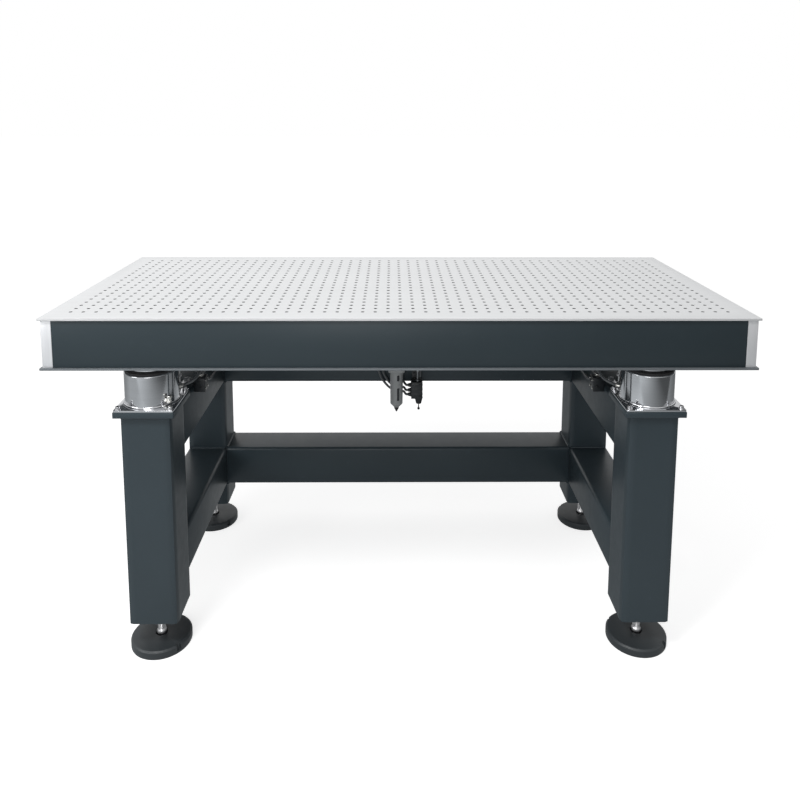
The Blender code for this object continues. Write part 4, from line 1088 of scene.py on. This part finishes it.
class PLATFORM_OT_isolators(bpy.types.Operator):
    """Turns the isolator cups, stop rings and pistons, and puts the screws in the flanges"""

    bl_idname = "platform.isolators"
    bl_label = "Air Isolators"

    def execute(self, context):
        cups = context.scene.platform_isolators
        inset = cups.flange_size / 2 - cups.screw_inset
        screw_places = []
        for corner, centre in LEG.items():
            self.housing(cups, corner, centre)
            self.stop_ring(corner, centre)
            self.piston(corner, centre)
            for x, y in polygon(inset * math.sqrt(2), 4, math.pi / 4):
                screw_places.append((centre.x + x, centre.y + y, FLANGE_TOP))
        self.flange_screws(screw_places)
        return {"FINISHED"}

    def housing(self, cups, corner, centre):
        """A square flange with a turned cup on it and a hose fitting that points to the middle."""
        place = upright(centre)
        outer = cups.cup_radius
        wall = 0.006
        fillet = cups.fillet_radius
        turns = [math.pi / 2 * i / 6 for i in range(7)]
        profile = [
            (0, FLANGE_TOP + wall),
            (outer - wall, FLANGE_TOP + wall),
            (outer - wall, CUP_TOP),
            (outer - 0.0018, CUP_TOP),
            (outer, CUP_TOP - 0.0022),
            *[(outer + fillet * (1 - math.cos(a)), FLANGE_TOP + fillet * (1.2 - math.sin(a))) for a in turns],
            (outer + fillet, FLANGE_TOP - 0.0005),
            (0, FLANGE_TOP - 0.0005),
        ]
        shape = Shape()
        shape.turned(softened(profile, 0.0006, 2), place, 0, 128)
        plate = rounded_square(cups.flange_size, cups.flange_size, 0.003, 4)
        shape.prism(plate, CAP_TOP, FLANGE_TOP, 0.0007, place)
        out = Vector((-CORNERS[corner][0], -CORNERS[corner][1], 0)).normalized()
        port = Vector((centre.x, centre.y, FLANGE_TOP + 0.011))
        root = port + out * (outer - 0.001)
        tip = port + out * (outer + 0.014)
        fitting(shape, tip, out, (tip - root).length, 0.0062, 1, 2)
        if corner == "front_left":
            self.blanked_port(shape, port, outer)
        finishes = ["turned steel", "nickel fitting", "release ring"]
        piece = shape.finished(f"isolator_housing_{corner}_cup", finishes)
        dress(piece, "frame", "isolator_steel", f"isolator_housing_{corner}")

    def blanked_port(self, shape, port, outer):
        """A second port at the cup's front inner side: a hexagon foot, an elbow and a round plug."""
        turn = math.radians(-40)
        out = Vector((math.cos(turn), math.sin(turn), 0))
        root = port + out * (outer - 0.0006)
        elbow = root + out * 0.0092
        shape.prism(polygon(0.0058, 6), 0.0, 0.0046, 0.0004, aimed(root, out), 1)
        shape.bar(root + out * 0.004, elbow, 0.0040, 1)
        shape.ball(elbow, 0.0046, 1, 20)
        neck = [(0, 0), (0.0040, 0), (0.0040, 0.0058)]
        plug = [*neck, (0.0052, 0.0066), (0.0052, 0.0112), (0.0040, 0.0124), (0, 0.0124)]
        shape.turned(softened(plug, 0.0005, 2), Matrix.Translation(elbow), 1, 28)

    def stop_ring(self, corner, centre):
        low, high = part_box("isolator_stop_ring_front_left")
        radius = (high.x - low.x) / 2
        inner = radius - 0.018
        profile = [
            (inner, high.z),
            (radius - 0.0010, high.z),
            (radius, high.z - 0.0012),
            (radius, low.z),
            (inner, low.z),
            (inner, high.z),
        ]
        shape = Shape()
        shape.turned(softened(profile, 0.0008, 3)[:-1], upright(centre), 0, 96, closed=True)
        piece = shape.finished(f"isolator_stop_ring_{corner}_rubber", ["stop rubber"])
        dress(piece, "frame", "black_rubber", f"isolator_stop_ring_{corner}")

    def piston(self, corner, centre):
        """A disc over the stop ring, a stem and a damping plate."""
        low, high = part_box("isolator_piston_front_left")
        disc_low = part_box("isolator_stop_ring_front_left")[1].z + 0.0003
        plate_high = low.z + 0.010
        disc, stem, plate = 0.045, 0.025, 0.040
        profile = [
            (0, high.z),
            (disc, high.z),
            (disc, disc_low),
            (stem, disc_low),
            (stem, plate_high),
            (plate, plate_high),
            (plate, low.z),
            (0, low.z),
        ]
        shape = Shape()
        shape.turned(softened(profile, 0.0008, 2), upright(centre), 0, 96)
        piece = shape.finished(f"isolator_piston_{corner}_disc", ["turned steel"])
        dress(piece, "tabletop", "isolator_steel", f"isolator_piston_{corner}")

    def flange_screws(self, places):
        """One screw on a washer, put on every place."""
        washer = 0.0008
        shape = Shape()
        shape.turned([(0, 0), (0.0058, 0), (0.0058, washer), (0, washer)], None, 0, 24)
        socket_screw(shape, 0.0043, 0.0052, Matrix.Translation((0, 0, washer)))
        screw = shape.finished("flange_screw", ["zinc plate"])
        points = bpy.data.meshes.new("flange_screws")
        points.from_pydata(places, [], [])
        values = {"Fastener": screw, "Material": FINISHES["zinc plate"]}
        screws = run_tree(added("flange_screws", points), scatter_tree(), values)
        bpy.data.objects.remove(screw)
        dress(screws, "frame", "zinc_steel")


class PLATFORM_OT_feet(bpy.types.Operator):
    """Casts the foot discs with their spanner notches and cuts the studs' threads"""

    bl_idname = "platform.feet"
    bl_label = "Levelling Feet"

    def execute(self, context):
        feet = context.scene.platform_feet
        radius = feet.disc_radius
        for corner, centre in LEG.items():
            place = upright(centre)
            shape = Shape()
            profile = [
                (0, DISC_TOP - 0.008),
                (0.012, DISC_TOP - 0.008),
                (0.012, DISC_TOP - 0.0006),
                (0.0127, DISC_TOP),
                (radius - 0.0036, DISC_TOP),
                (radius, DISC_TOP - 0.0034),
                (radius, 0.0012),
                (radius - 0.0012, 0),
                (0, 0),
            ]
            shape.turned(softened(profile, 0.0009, 3), place, 0, 128)
            disc = shape.finished(f"foot_disc_{corner}_casting", ["cast foot"])
            for angle in (-40.0, 140.0):
                cut_notch(disc, centre, math.radians(angle), radius)
            dress(disc, f"foot_{corner}", "cast_foot", f"foot_disc_{corner}")

            shape = Shape()
            low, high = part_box(f"foot_stud_{corner}")
            ball = 0.0105
            seat = low.z
            neck = math.acos(feet.stud_radius / ball)
            arcs = [neck + (-math.radians(60) - neck) * i / 10 for i in range(11)]
            start = seat + ball + ball * math.sin(neck)
            profile = [(0, start + 0.002), (feet.stud_radius - 0.0006, start + 0.002)]
            profile += [(ball * math.cos(a), seat + ball + ball * math.sin(a)) for a in arcs]
            profile.append((0, seat))
            shape.turned(profile, place, 0, 40)
            threaded_rod(shape, place, feet, start, high.z)
            piece = shape.finished(f"foot_stud_{corner}_thread", ["zinc plate"])
            dress(piece, f"stud_{corner}", "zinc_steel", f"foot_stud_{corner}")
        return {"FINISHED"}


def cut_notch(disc, centre, angle, radius):
    """Cuts a round-ended notch for a hook spanner into a disc's rim."""
    shape = Shape()
    shape.prism(rounded_square(0.012, 0.009, 0.003, 4), 0.0055, 0.030, 0.0004)
    cutter = shape.finished("notch_cutter", ["cast foot"])
    at_rim = (centre.x + radius * math.cos(angle), centre.y + radius * math.sin(angle), 0)
    cutter.matrix_world = Matrix.Translation(at_rim) @ Matrix.Rotation(angle, 4, "Z")
    cut_out(disc, cutter)


def threaded_rod(shape, place, feet, low, high):
    """A rod with a helical thread between two heights, chamfered at its upper end."""
    facets = 28
    pitch = feet.thread_pitch
    depth = 0.00055
    chamfer = 0.0006
    rows_per_turn = 4
    rows = int((high - low) / pitch * rows_per_turn)
    rings = []
    for row in range(rows + 1):
        height = low + (high - low) * row / rows
        fade = min(1.0, (high - height) / pitch)
        ring = []
        for i in range(facets):
            angle = math.tau * i / facets
            wave = abs(((height - low) / pitch - i / facets) % 1.0 - 0.5) * 2
            reach = feet.stud_radius - depth * wave - chamfer * (1 - fade)
            ring.append((reach * math.cos(angle), reach * math.sin(angle), height))
        rings.append(ring)
    shape.loops(rings, place)


class PLATFORM_OT_front_valves(bpy.types.Operator):
    """Makes the two front levelling valves with their levers and ball-jointed rods"""

    bl_idname = "platform.front_valves"
    bl_label = "Front Valves"

    def execute(self, context):
        for side, sign in SIDES.items():
            body_low, body_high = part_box(f"valve_body_front_{side}")
            lever_low, lever_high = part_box(f"valve_lever_front_{side}")
            rod_low, rod_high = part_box(f"valve_rod_front_{side}")
            self.body(side, sign, body_low, body_high)
            self.lever(side, sign, body_low, body_high, lever_low, lever_high)
            self.rod(side, rod_low, rod_high)
        return {"FINISHED"}

    def body(self, side, sign, low, high):
        centre = (low + high) / 2
        shape = Shape()
        shape.block(low, high, 0.0012, steps=3)
        inner_x = low.x if sign > 0 else high.x
        screw_x = inner_x + sign * 0.0003
        for y, z in ((-0.009, 0.009), (0.009, 0.009), (-0.009, -0.009), (0.009, -0.009)):
            place = aimed((screw_x, centre.y + y, centre.z + z), (-sign, 0, 0))
            socket_screw(shape, 0.0024, 0.0022, place, 1)
        front = aimed((centre.x - sign * 0.004, low.y + 0.0003, centre.z - 0.004), (0, -1, 0))
        shape.turned(softened([(0, 0), (0.0034, 0), (0.0034, 0.0026), (0, 0.0026)], 0.0006, 2), front, 0, 24)
        socket_screw(shape, 0.0020, 0.0016, front @ Matrix.Translation((0, 0, 0.0024)), 0)
        proud, reach, radius = 0.0052, 0.0056, 0.0046
        fitting(shape, (centre.x, centre.y, high.z + proud), (0, 0, 1), reach, radius, 1, 2)
        fitting(shape, (centre.x, high.y + proud, centre.z), (0, 1, 0), reach, radius, 1, 2)
        finishes = ["valve black", "nickel fitting", "release ring"]
        node = f"valve_body_front_{side}"
        dress(shape.finished(f"{node}_block", finishes), "frame", "valve_black", node)

    def lever(self, side, sign, body_low, body_high, low, high):
        """The lever's bar lies over the side rail. Its shaft runs into the valve block."""
        shaft = Vector((0.0, low.y + 0.064, (low.z + high.z) / 2))
        outer = high.x if sign > 0 else low.x
        inner = outer - sign * 0.012
        mid = (outer + inner) / 2
        face = body_high.x if sign > 0 else body_low.x
        shape = Shape()
        bar = rounded_square(0.0115, 0.064, 0.0055, 6)
        place = Matrix.Translation((mid, shaft.y - 0.032, shaft.z))
        shape.prism(bar, -0.0025, 0.0025, 0.0006, place)
        shape.bar((inner, shaft.y, shaft.z), (outer, shaft.y, shaft.z), 0.0060, 0, 0.0006, 32)
        shape.bar((face - sign * 0.0132, shaft.y, shaft.z), (outer, shaft.y, shaft.z), 0.0029, 0, 0.0003, 20)
        socket_screw(shape, 0.0022, 0.0014, aimed((mid, shaft.y, shaft.z + 0.0056), (0, 0, 1)), 0)
        node = f"valve_lever_front_{side}"
        dress(shape.finished(f"{node}_arm", ["zinc plate"]), f"valve_lever_{side}", "zinc_steel", node)

    def rod(self, side, low, high):
        """A rod with a ball joint at each end, a hexagon nut and a pad under the table top."""
        centre = (low + high) / 2
        shape = Shape()
        x, y = centre.x, centre.y
        ball = 0.0055
        shape.ball((x, y, low.z + ball), ball, 0, 28)
        shape.bar((x, y, low.z + ball), (x, y, high.z - 0.004), 0.0029, 0, 0.0003, 24)
        neck = [(0, 0.004), (0.0046, 0.006), (0.0046, 0.014), (0.0030, 0.0155), (0, 0.0155)]
        shape.turned(softened(neck, 0.0006, 2), upright(centre, low.z), 0, 24)
        shape.prism(polygon(0.0062, 6), 0.0, 0.0052, 0.0005, upright(centre, low.z + 0.0275))
        upper = [(0, 0.0), (0.0044, 0.0015), (0.0044, 0.0075), (0, 0.009)]
        shape.turned(softened(upper, 0.0006, 2), upright(centre, high.z - 0.019), 0, 24)
        shape.ball((x, y, high.z - 0.0075), 0.0052, 0, 28)
        pad = [(0, 0.0), (0.0066, 0.0), (0.0066, 0.0038), (0, 0.0038)]
        shape.turned(softened(pad, 0.0006, 2), upright(centre, high.z - 0.0038), 1, 32)
        node = f"valve_rod_front_{side}"
        piece = shape.finished(f"{node}_link", ["zinc plate", "knob plastic"])
        dress(piece, f"valve_rod_{side}", "zinc_steel", node)


class PLATFORM_OT_rear_valve(bpy.types.Operator):
    """Makes the rear levelling valve on its bracket, its plunger and its vent toggle"""

    bl_idname = "platform.rear_valve"
    bl_label = "Rear Valve"

    def execute(self, context):
        plunger_low, plunger_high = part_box("valve_plunger_rear")
        toggle_low, toggle_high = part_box("vent_toggle")
        nose = (toggle_low + toggle_high) / 2
        stem = Vector(((plunger_low.x + plunger_high.x) / 2, 0.150, 0.0))
        self.block(nose, stem)
        self.plunger(stem, plunger_low.z, plunger_high.z)
        self.toggle(nose, toggle_low.z)
        return {"FINISHED"}

    def block(self, nose, stem):
        """A banded block on a plate at the stretcher, with a nose below and a collar for the plunger."""
        low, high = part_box("valve_body_rear")
        mid = Vector((0.0470, 0.150, 0.0))
        top = 0.425
        bottom = 0.381
        wall = high.y
        shape = Shape()
        shape.block(*around(mid, 0.0145, 0.0125, bottom, top), 0.0012, steps=3)
        for band in (0.391, 0.404, 0.416):
            shape.block(*around(mid, 0.0149, 0.0129, band, band + 0.0042), 0.0008)
        neck = ((mid.x - 0.0087, mid.y, bottom + 0.002), (mid.x + 0.0087, wall - 0.0015, top - 0.002))
        shape.block(*neck, 0.0006)
        shape.block((mid.x - 0.0116, wall - 0.003, bottom + 0.001), (mid.x + 0.0116, wall, high.z), 0.0006)
        bore = 0.0030
        profile = [
            (bore, low.z + 0.009),
            (bore, low.z),
            (0.0064, low.z),
            (0.0069, low.z + 0.0012),
            (0.0098, bottom - 0.003),
            (0.0106, bottom - 0.001),
            (0.0106, bottom + 0.001),
            (bore, bottom + 0.001),
            (bore, low.z + 0.009),
        ]
        shape.turned(softened(profile, 0.0005, 2)[:-1], upright(nose), 0, 40, closed=True)
        for drop in (0.0112, 0.0246, 0.0360):
            tip = (low.x - 0.0003, mid.y, top - drop)
            fitting(shape, tip, (-1, 0, 0), 0.0062, 0.0050, 0, 2)
        fitting(shape, (mid.x + 0.0085, mid.y + 0.0065, top + 0.006), (0, 0, 1), 0.0064, 0.0048, 0, 2)
        for z in (top + 0.012, top + 0.020):
            socket_screw(shape, 0.0028, 0.0026, aimed((mid.x - 0.006, wall - 0.003, z), (0, -1, 0)), 0)
        for z in (bottom + 0.006, top - 0.006):
            socket_screw(shape, 0.0022, 0.0018, aimed((mid.x + 0.009, mid.y - 0.0128, z), (0, -1, 0)), 0)
        collar = [(0.0031, 0.0), (0.0056, 0.0), (0.0056, 0.0040), (0.0031, 0.0040), (0.0031, 0.0)]
        place = upright(stem, top - 0.0004)
        shape.turned(softened(collar, 0.0005, 2)[:-1], place, 1, 32, closed=True)
        finishes = ["valve black", "dull pin", "release ring"]
        dress(shape.finished("valve_body_rear_block", finishes), "frame", "valve_black", "valve_body_rear")

    def plunger(self, stem, low, high):
        """A rod with a nut on it and a round head under the table top."""
        shape = Shape()
        shape.bar((stem.x, stem.y, low), (stem.x, stem.y, high - 0.002), 0.0027, 0)
        head = [(0, 0), (0.0044, 0), (0.0060, 0.0016), (0.0060, 0.0040), (0, 0.0040)]
        shape.turned(softened(head, 0.0005, 2), upright(stem, high - 0.004), 0, 32)
        shape.prism(polygon(0.0046, 6), 0.0, 0.0036, 0.0004, upright(stem, 0.450))
        piece = shape.finished("valve_plunger_rear_pin", ["dull pin"])
        dress(piece, "valve_plunger", "zinc_steel", "valve_plunger_rear")

    def toggle(self, nose, low):
        """A waisted stem between the ball that it tips about and its knob."""
        pivot = 0.371
        knob = low + 0.0034
        shape = Shape()
        shape.ball((nose.x, nose.y, pivot), 0.0026, 0, 20)
        stem = [
            (0, pivot),
            (0.0015, pivot - 0.002),
            (0.0011, (pivot + knob) / 2),
            (0.0015, knob + 0.003),
            (0, knob),
        ]
        shape.turned(softened(stem, 0.0004, 2), upright(nose), 0, 20)
        shape.ball((nose.x, nose.y, knob), 0.0034, 0, 24)
        dress(shape.finished("vent_toggle_stem", ["valve black"]), "toggle", "valve_black", "vent_toggle")


class PLATFORM_OT_filter_regulator(bpy.types.Operator):
    """Makes the filter regulator: head, slotted bowl guard with its sight bowl, drain and knob"""

    bl_idname = "platform.filter_regulator"
    bl_label = "Filter Regulator"

    def execute(self, context):
        bowl_low, bowl_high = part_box("filter_bowl")
        axis = (bowl_low + bowl_high) / 2
        self.head(axis, *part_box("filter_head"))
        self.bowl(axis, bowl_low, bowl_high)
        self.knob(axis, *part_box("regulator_knob"))
        return {"FINISHED"}

    def knob(self, axis, low, high):
        """A round grip with shallow flutes and a low disc on its top."""
        radius = 0.015
        flutes, flute_depth = 20, 0.035
        facets = flutes * 6
        rows = [
            (0.88, 0.0),
            (0.96, 0.0008),
            (1.0, 0.002),
            (1.0, 0.022),
            (0.97, 0.026),
            (0.90, 0.029),
            (0.80, 0.030),
        ]
        rings = []
        for share, height in rows:
            fade = 1 if 0.001 < height < 0.027 else 0.3
            ring = []
            for i in range(facets):
                angle = math.tau * i / facets
                ripple = 1 - flute_depth * (0.5 - 0.5 * math.cos(angle * flutes)) * fade
                reach = radius * share * ripple
                ring.append((reach * math.cos(angle), reach * math.sin(angle), low.z + height * 0.99))
            rings.append(ring)
        shape = Shape()
        shape.loops(rings, upright(axis))
        disc = [(0, 0), (0.0045, 0), (0.0045, 0.0006), (0, 0.0006)]
        place = aimed((axis.x, axis.y, high.z - 0.0006), (0, 0, 1))
        shape.turned(softened(disc, 0.0003, 2), place, 0, 32)
        piece = shape.finished("regulator_knob_grip", ["knob plastic"], 40.0)
        dress(piece, "knob", "knob_black", "regulator_knob")

    def head(self, axis, low, high):
        """A cast block on a foot at the stretcher, with fittings beside and below it and a plugged port."""
        width, depth = 0.042, 0.040
        bottom, top = low.z + 0.006, high.z
        port_z = (bottom + top) / 2
        front = axis.y - depth / 2
        shape = Shape()
        body = rounded_square(width, depth, 0.006, 5)
        shape.prism(body, bottom, top, 0.0014, upright(axis), 0, 3)
        shape.block(
            (axis.x - 0.0168, axis.y + depth / 2 - 0.004, port_z - 0.0076),
            (axis.x + 0.0168, high.y, port_z + 0.0076),
            0.0010,
        )
        for x in (-0.011, 0.011):
            place = aimed((axis.x + x, front + 0.0003, port_z), (0, -1, 0))
            socket_screw(shape, 0.0026, 0.0024, place, 1)
        gauge = aimed((axis.x, front + 0.0004, port_z), (0, -1, 0))
        shape.prism(polygon(0.0058, 6), 0.0, 0.0030, 0.0005, gauge, 1)
        for sign in (-1, 1):
            tip = (axis.x + sign * (width / 2 + 0.006), axis.y, port_z)
            fitting(shape, tip, (sign, 0, 0), 0.0062, 0.0050, 1, 2)
        hose_y = 0.1735
        fitting(shape, (axis.x + width / 2 - 0.005, hose_y, low.z), (0, 0, -1), 0.0062, 0.0048, 1, 2)
        finishes = ["guard grey", "nickel fitting", "release ring"]
        dress(shape.finished("filter_head_casting", finishes), "frame", "filter_grey", "filter_head")

    def bowl(self, axis, low, high):
        """A slotted guard over a sight bowl with a drain at its end."""
        toe = high.z - 0.086
        place = upright(axis)
        wide, narrow, wall = 0.0176, 0.0158, 0.0013
        waist = wide - 0.0010
        shape = Shape()
        profile = [
            (0.0100, high.z),
            (wide, high.z),
            (wide, high.z - 0.0030),
            (waist, high.z - 0.0040),
            (waist, high.z - 0.0052),
            (narrow, toe),
            (0.0062, toe - 0.0105),
            (0.0054, toe - 0.0105),
            (narrow - wall, toe + 0.0012),
            (waist - wall, high.z - 0.0052),
            (0.0100, high.z - 0.0030),
            (0.0100, high.z),
        ]
        shape.turned(softened(profile, 0.0006, 2)[:-1], place, 0, 72, closed=True)
        guard = shape.finished("filter_bowl_guard", ["guard grey"])
        cutters = Shape()
        slots = ((0.4285, 0.4450), (0.3765, 0.4110))
        slot_width = 0.0066
        for turn in (-74, 46, 166):
            angle = math.radians(turn)
            out = Vector((math.cos(angle), math.sin(angle), 0))
            for slot_low, slot_high in slots:
                outline = rounded_square(slot_width, slot_high - slot_low, 0.0030, 5)
                centre = Vector((axis.x, axis.y, (slot_low + slot_high) / 2)) + out * 0.008
                side = Vector((-out.y, out.x, 0))
                turned_place = Matrix((side, Vector((0, 0, 1)), out)).transposed().to_4x4()
                turned_place.translation = centre
                cutters.prism(outline, 0.0, 0.014, 0.0002, turned_place)
        cut_out(guard, cutters.finished("slot_cutter", ["guard grey"]))
        dress(guard, "frame", "filter_grey", "filter_bowl")

        shape = Shape()
        glass = [
            (0, high.z - 0.0050),
            (0.0150, high.z - 0.0062),
            (0.0139, toe + 0.001),
            (0.0045, toe - 0.009),
            (0, toe - 0.009),
        ]
        shape.turned(softened(glass, 0.0006, 2), place, 0, 48)
        drain = [
            (0, toe - 0.0095),
            (0.0062, toe - 0.0095),
            (0.0058, toe - 0.0140),
            (0.0044, toe - 0.0160),
            (0.0014, low.z),
            (0, low.z),
        ]
        shape.turned(softened(drain, 0.0005, 2), place, 1, 40)
        dress(shape.finished("filter_sight_bowl", ["sight window", "knob plastic"]), "frame", "filter_grey")


class PLATFORM_OT_air_hoses(bpy.types.Operator):
    """Lays the air hoses along their routes"""

    bl_idname = "platform.air_hoses"
    bl_label = "Air Hoses"

    def execute(self, context):
        radius = context.scene.platform_air.hose_radius
        for node, points in HOSE_ROUTES.items():
            route = smooth_route(points)
            shape = Shape()
            shape.tube(route, radius)
            hose = dress(shape.finished(f"{node}_hose", ["hose nylon"], 80.0), "frame", "air_hose", node)
        return {"FINISHED"}


def area_light(name, place, target, size, power):
    light = bpy.data.lights.new(name, "AREA")
    light.shape = "DISK"
    light.size = size
    light.energy = power
    added(name, light).matrix_world = aimed(place, Vector(place) - Vector(target))


def studio_world(stage):
    """White behind the object for the camera, and a softer room for its light and its reflections."""
    world = bpy.data.worlds.new("studio")
    bpy.context.scene.world = world
    world.use_nodes = True
    tree = world.node_tree
    tree.nodes.clear()
    path = tree.nodes.new("ShaderNodeLightPath").outputs
    axes = separated(tree, tree.nodes.new("ShaderNodeTexCoord").outputs["Generated"])
    behind = remap(tree, axes["Y"], -0.15, 0.25, stage.front_level, 1.0)
    leftward = remap(tree, axes["X"], -0.05, 0.5, 0.96, 0.76)
    # The room is dim in front near the floor, and bright again higher up, for the top seen from behind
    raised = remap(tree, axes["Z"], 0.10, 0.30, 0.0, 1.0)
    walls = mixed(tree, raised, behind, stage.upper_level)
    reflected = calculated(tree, "MULTIPLY", walls, leftward)
    room = mixed(tree, path["Is Glossy Ray"], stage.room_level, reflected)
    seen = mixed(tree, path["Is Camera Ray"], room, 1.0)
    background = grown(tree, "ShaderNodeBackground", {"Color": (1.0, 1.0, 1.0, 1.0), "Strength": seen})
    grown(tree, "ShaderNodeOutputWorld", {"Surface": background.outputs["Background"]})


def studio_floor(stage):
    """A pale floor that the camera sees as white, with the object's shadow on it."""
    reach = 30.0
    mesh = bpy.data.meshes.new("studio_floor")
    mesh.from_pydata([(reach * x, reach * y, 0) for x, y in CORNERS.values()], [], [(0, 1, 2, 3)])
    material, tree = new_material("studio floor")
    path = tree.nodes.new("ShaderNodeLightPath").outputs
    paper = grown(tree, "ShaderNodeBsdfDiffuse", {"Color": (*stage.floor_colour, 1.0)})
    lift = calculated(tree, "MULTIPLY", path["Is Camera Ray"], stage.floor_lift)
    glow = grown(tree, "ShaderNodeEmission", {"Strength": lift})
    both = grown(tree, "ShaderNodeAddShader", {0: paper.outputs["BSDF"], 1: glow.outputs["Emission"]})
    # In reflections the floor is only a painted glow, with painted light and painted shadow, in place of the
    # lit floor
    links = {"Color": (*stage.mirror_colour, 1.0), "Strength": painted_floor_reflection(tree, stage)}
    painted_reflection = grown(tree, "ShaderNodeEmission", links)
    links = {0: path["Is Glossy Ray"], 1: both.outputs["Shader"], 2: painted_reflection.outputs["Emission"]}
    seen = grown(tree, "ShaderNodeMixShader", links)
    grown(tree, "ShaderNodeOutputMaterial", {"Surface": seen.outputs["Shader"]})
    mesh.materials.append(material)
    added("studio_floor", mesh)


def painted_floor_reflection(tree, stage):
    """Painted brightness of the floor in reflections: painted light that dims to the right and to the back,
    and painted shadow under the platform.
    """
    place = tree.nodes.new("ShaderNodeTexCoord").outputs["Object"]
    axes = separated(tree, place)
    # Painted light that falls off from left to right
    reach = 2.2
    fall = reach * stage.mirror_slope
    sideways = remap(tree, axes["X"], -reach, reach, stage.mirror_level + fall, stage.mirror_level - fall)
    # Painted light: in reflections the floor is brighter behind a line in front of the platform that slants
    # away to the right
    across = separated(tree, stretched(tree, place, (1.0, 1.0, 1.0), (0, 0, math.radians(-19.3))))
    past_painted_edge = remap(tree, across["Y"], -1.40, -1.37, 0.0, 1.0)
    painted_light_left = remap(tree, axes["X"], -1.9, -0.5, 0.66, 1.0)
    painted_light_right = remap(tree, axes["X"], -0.5, 1.9, 0.80, 0.31)
    sheet = calculated(tree, "MULTIPLY", painted_light_left, painted_light_right)
    level = mixed(tree, past_painted_edge, sideways, sheet)
    oval = stretched(tree, place, (1.0, 1.6, 0.0))
    distance = grown(tree, "ShaderNodeVectorMath", {0: oval}, operation="LENGTH")
    # Painted shadow of the platform, dimming the floor in reflections round its middle
    under = remap(tree, distance.outputs["Value"], 0.45, 0.95, 0.60, 1.0)
    # Painted light that dims towards the back
    backward = remap(tree, axes["Y"], -0.5, 0.6, 1.0, 0.62)
    return calculated(tree, "MULTIPLY", calculated(tree, "MULTIPLY", level, under), backward)


def photo_camera(stage):
    """The camera stands in front of the platform, a little above its top, and looks slightly down."""
    camera = bpy.data.cameras.new("photo_camera")
    camera.sensor_width = 36.0
    camera.lens = stage.focal_length
    camera.shift_x, camera.shift_y = CAMERA_SHIFT
    pitch, roll, yaw = (math.radians(angle) for angle in (CAMERA_PITCH, CAMERA_ROLL, CAMERA_YAW))
    ahead = Vector((math.sin(yaw) * math.cos(pitch), math.cos(yaw) * math.cos(pitch), -math.sin(pitch)))
    right = Vector((math.cos(yaw), -math.sin(yaw), 0.0))
    down = ahead.cross(right)
    right_rolled = right * math.cos(roll) + down * math.sin(roll)
    down_rolled = down * math.cos(roll) - right * math.sin(roll)
    turn = Matrix((right_rolled, -down_rolled, -ahead)).transposed().to_4x4()
    holder = added("photo_camera", camera)
    holder.matrix_world = Matrix.Translation(CAMERA_PLACE) @ turn
    bpy.context.scene.camera = holder


class PLATFORM_OT_stage(bpy.types.Operator):
    """Sets up the floor, the room, the lamps and the camera"""

    bl_idname = "platform.stage"
    bl_label = "Studio Stage"

    def execute(self, context):
        stage = context.scene.platform_stage
        context.scene.view_settings.view_transform = "Standard"
        studio_world(stage)
        studio_floor(stage)
        area_light("key_light", (-0.85, -1.35, 2.4), (-0.2, -0.1, 0.4), 0.6, stage.key_power)
        area_light("side_light", (-2.3, -1.3, 1.3), (0.0, 0.0, 0.4), 1.2, stage.side_power)
        area_light("fill_light", (-0.3, -2.6, 1.0), (0.0, 0.0, 0.35), 1.2, stage.fill_power)
        photo_camera(stage)
        return {"FINISHED"}


SETTINGS = {
    "platform_top": TopSettings,
    "platform_frame": FrameSettings,
    "platform_isolators": IsolatorSettings,
    "platform_feet": FootSettings,
    "platform_air": AirSettings,
    "platform_stage": StageSettings,
}
STEPS = (
    PLATFORM_OT_stage,
    PLATFORM_OT_table_top,
    PLATFORM_OT_table_sides,
    PLATFORM_OT_frame_tubes,
    PLATFORM_OT_weld_beads,
    PLATFORM_OT_isolators,
    PLATFORM_OT_feet,
    PLATFORM_OT_front_valves,
    PLATFORM_OT_rear_valve,
    PLATFORM_OT_filter_regulator,
    PLATFORM_OT_air_hoses,
)


class PLATFORM_PT_builder(bpy.types.Panel):
    """Lists the steps that build the platform and the sizes and colours that they use"""

    bl_label = "Vibration Isolation Platform"
    bl_idname = "PLATFORM_PT_builder"
    bl_space_type = "VIEW_3D"
    bl_region_type = "UI"
    bl_category = "Platform"

    def draw(self, context):
        column = self.layout.column()
        for step in STEPS:
            column.operator(step.bl_idname)
        for name in SETTINGS:
            group = getattr(context.scene, name)
            box = self.layout.box()
            for key in group.__annotations__:
                box.prop(group, key)


CLASSES = (*SETTINGS.values(), *STEPS, PLATFORM_PT_builder)


def register():
    for cls in CLASSES:
        bpy.utils.register_class(cls)
    for name, group in SETTINGS.items():
        setattr(bpy.types.Scene, name, PointerProperty(type=group))


def unregister():
    for name in SETTINGS:
        delattr(bpy.types.Scene, name)
    for cls in reversed(CLASSES):
        bpy.utils.unregister_class(cls)


def main():
    register()
    make_finishes(bpy.context.scene)
    bpy.ops.platform.stage()
    bpy.ops.platform.table_top()
    bpy.ops.platform.table_sides()
    bpy.ops.platform.frame_tubes()
    bpy.ops.platform.weld_beads()
    bpy.ops.platform.isolators()
    bpy.ops.platform.feet()
    bpy.ops.platform.front_valves()
    bpy.ops.platform.rear_valve()
    bpy.ops.platform.filter_regulator()
    bpy.ops.platform.air_hoses()


if __name__ == "__main__":
    main()
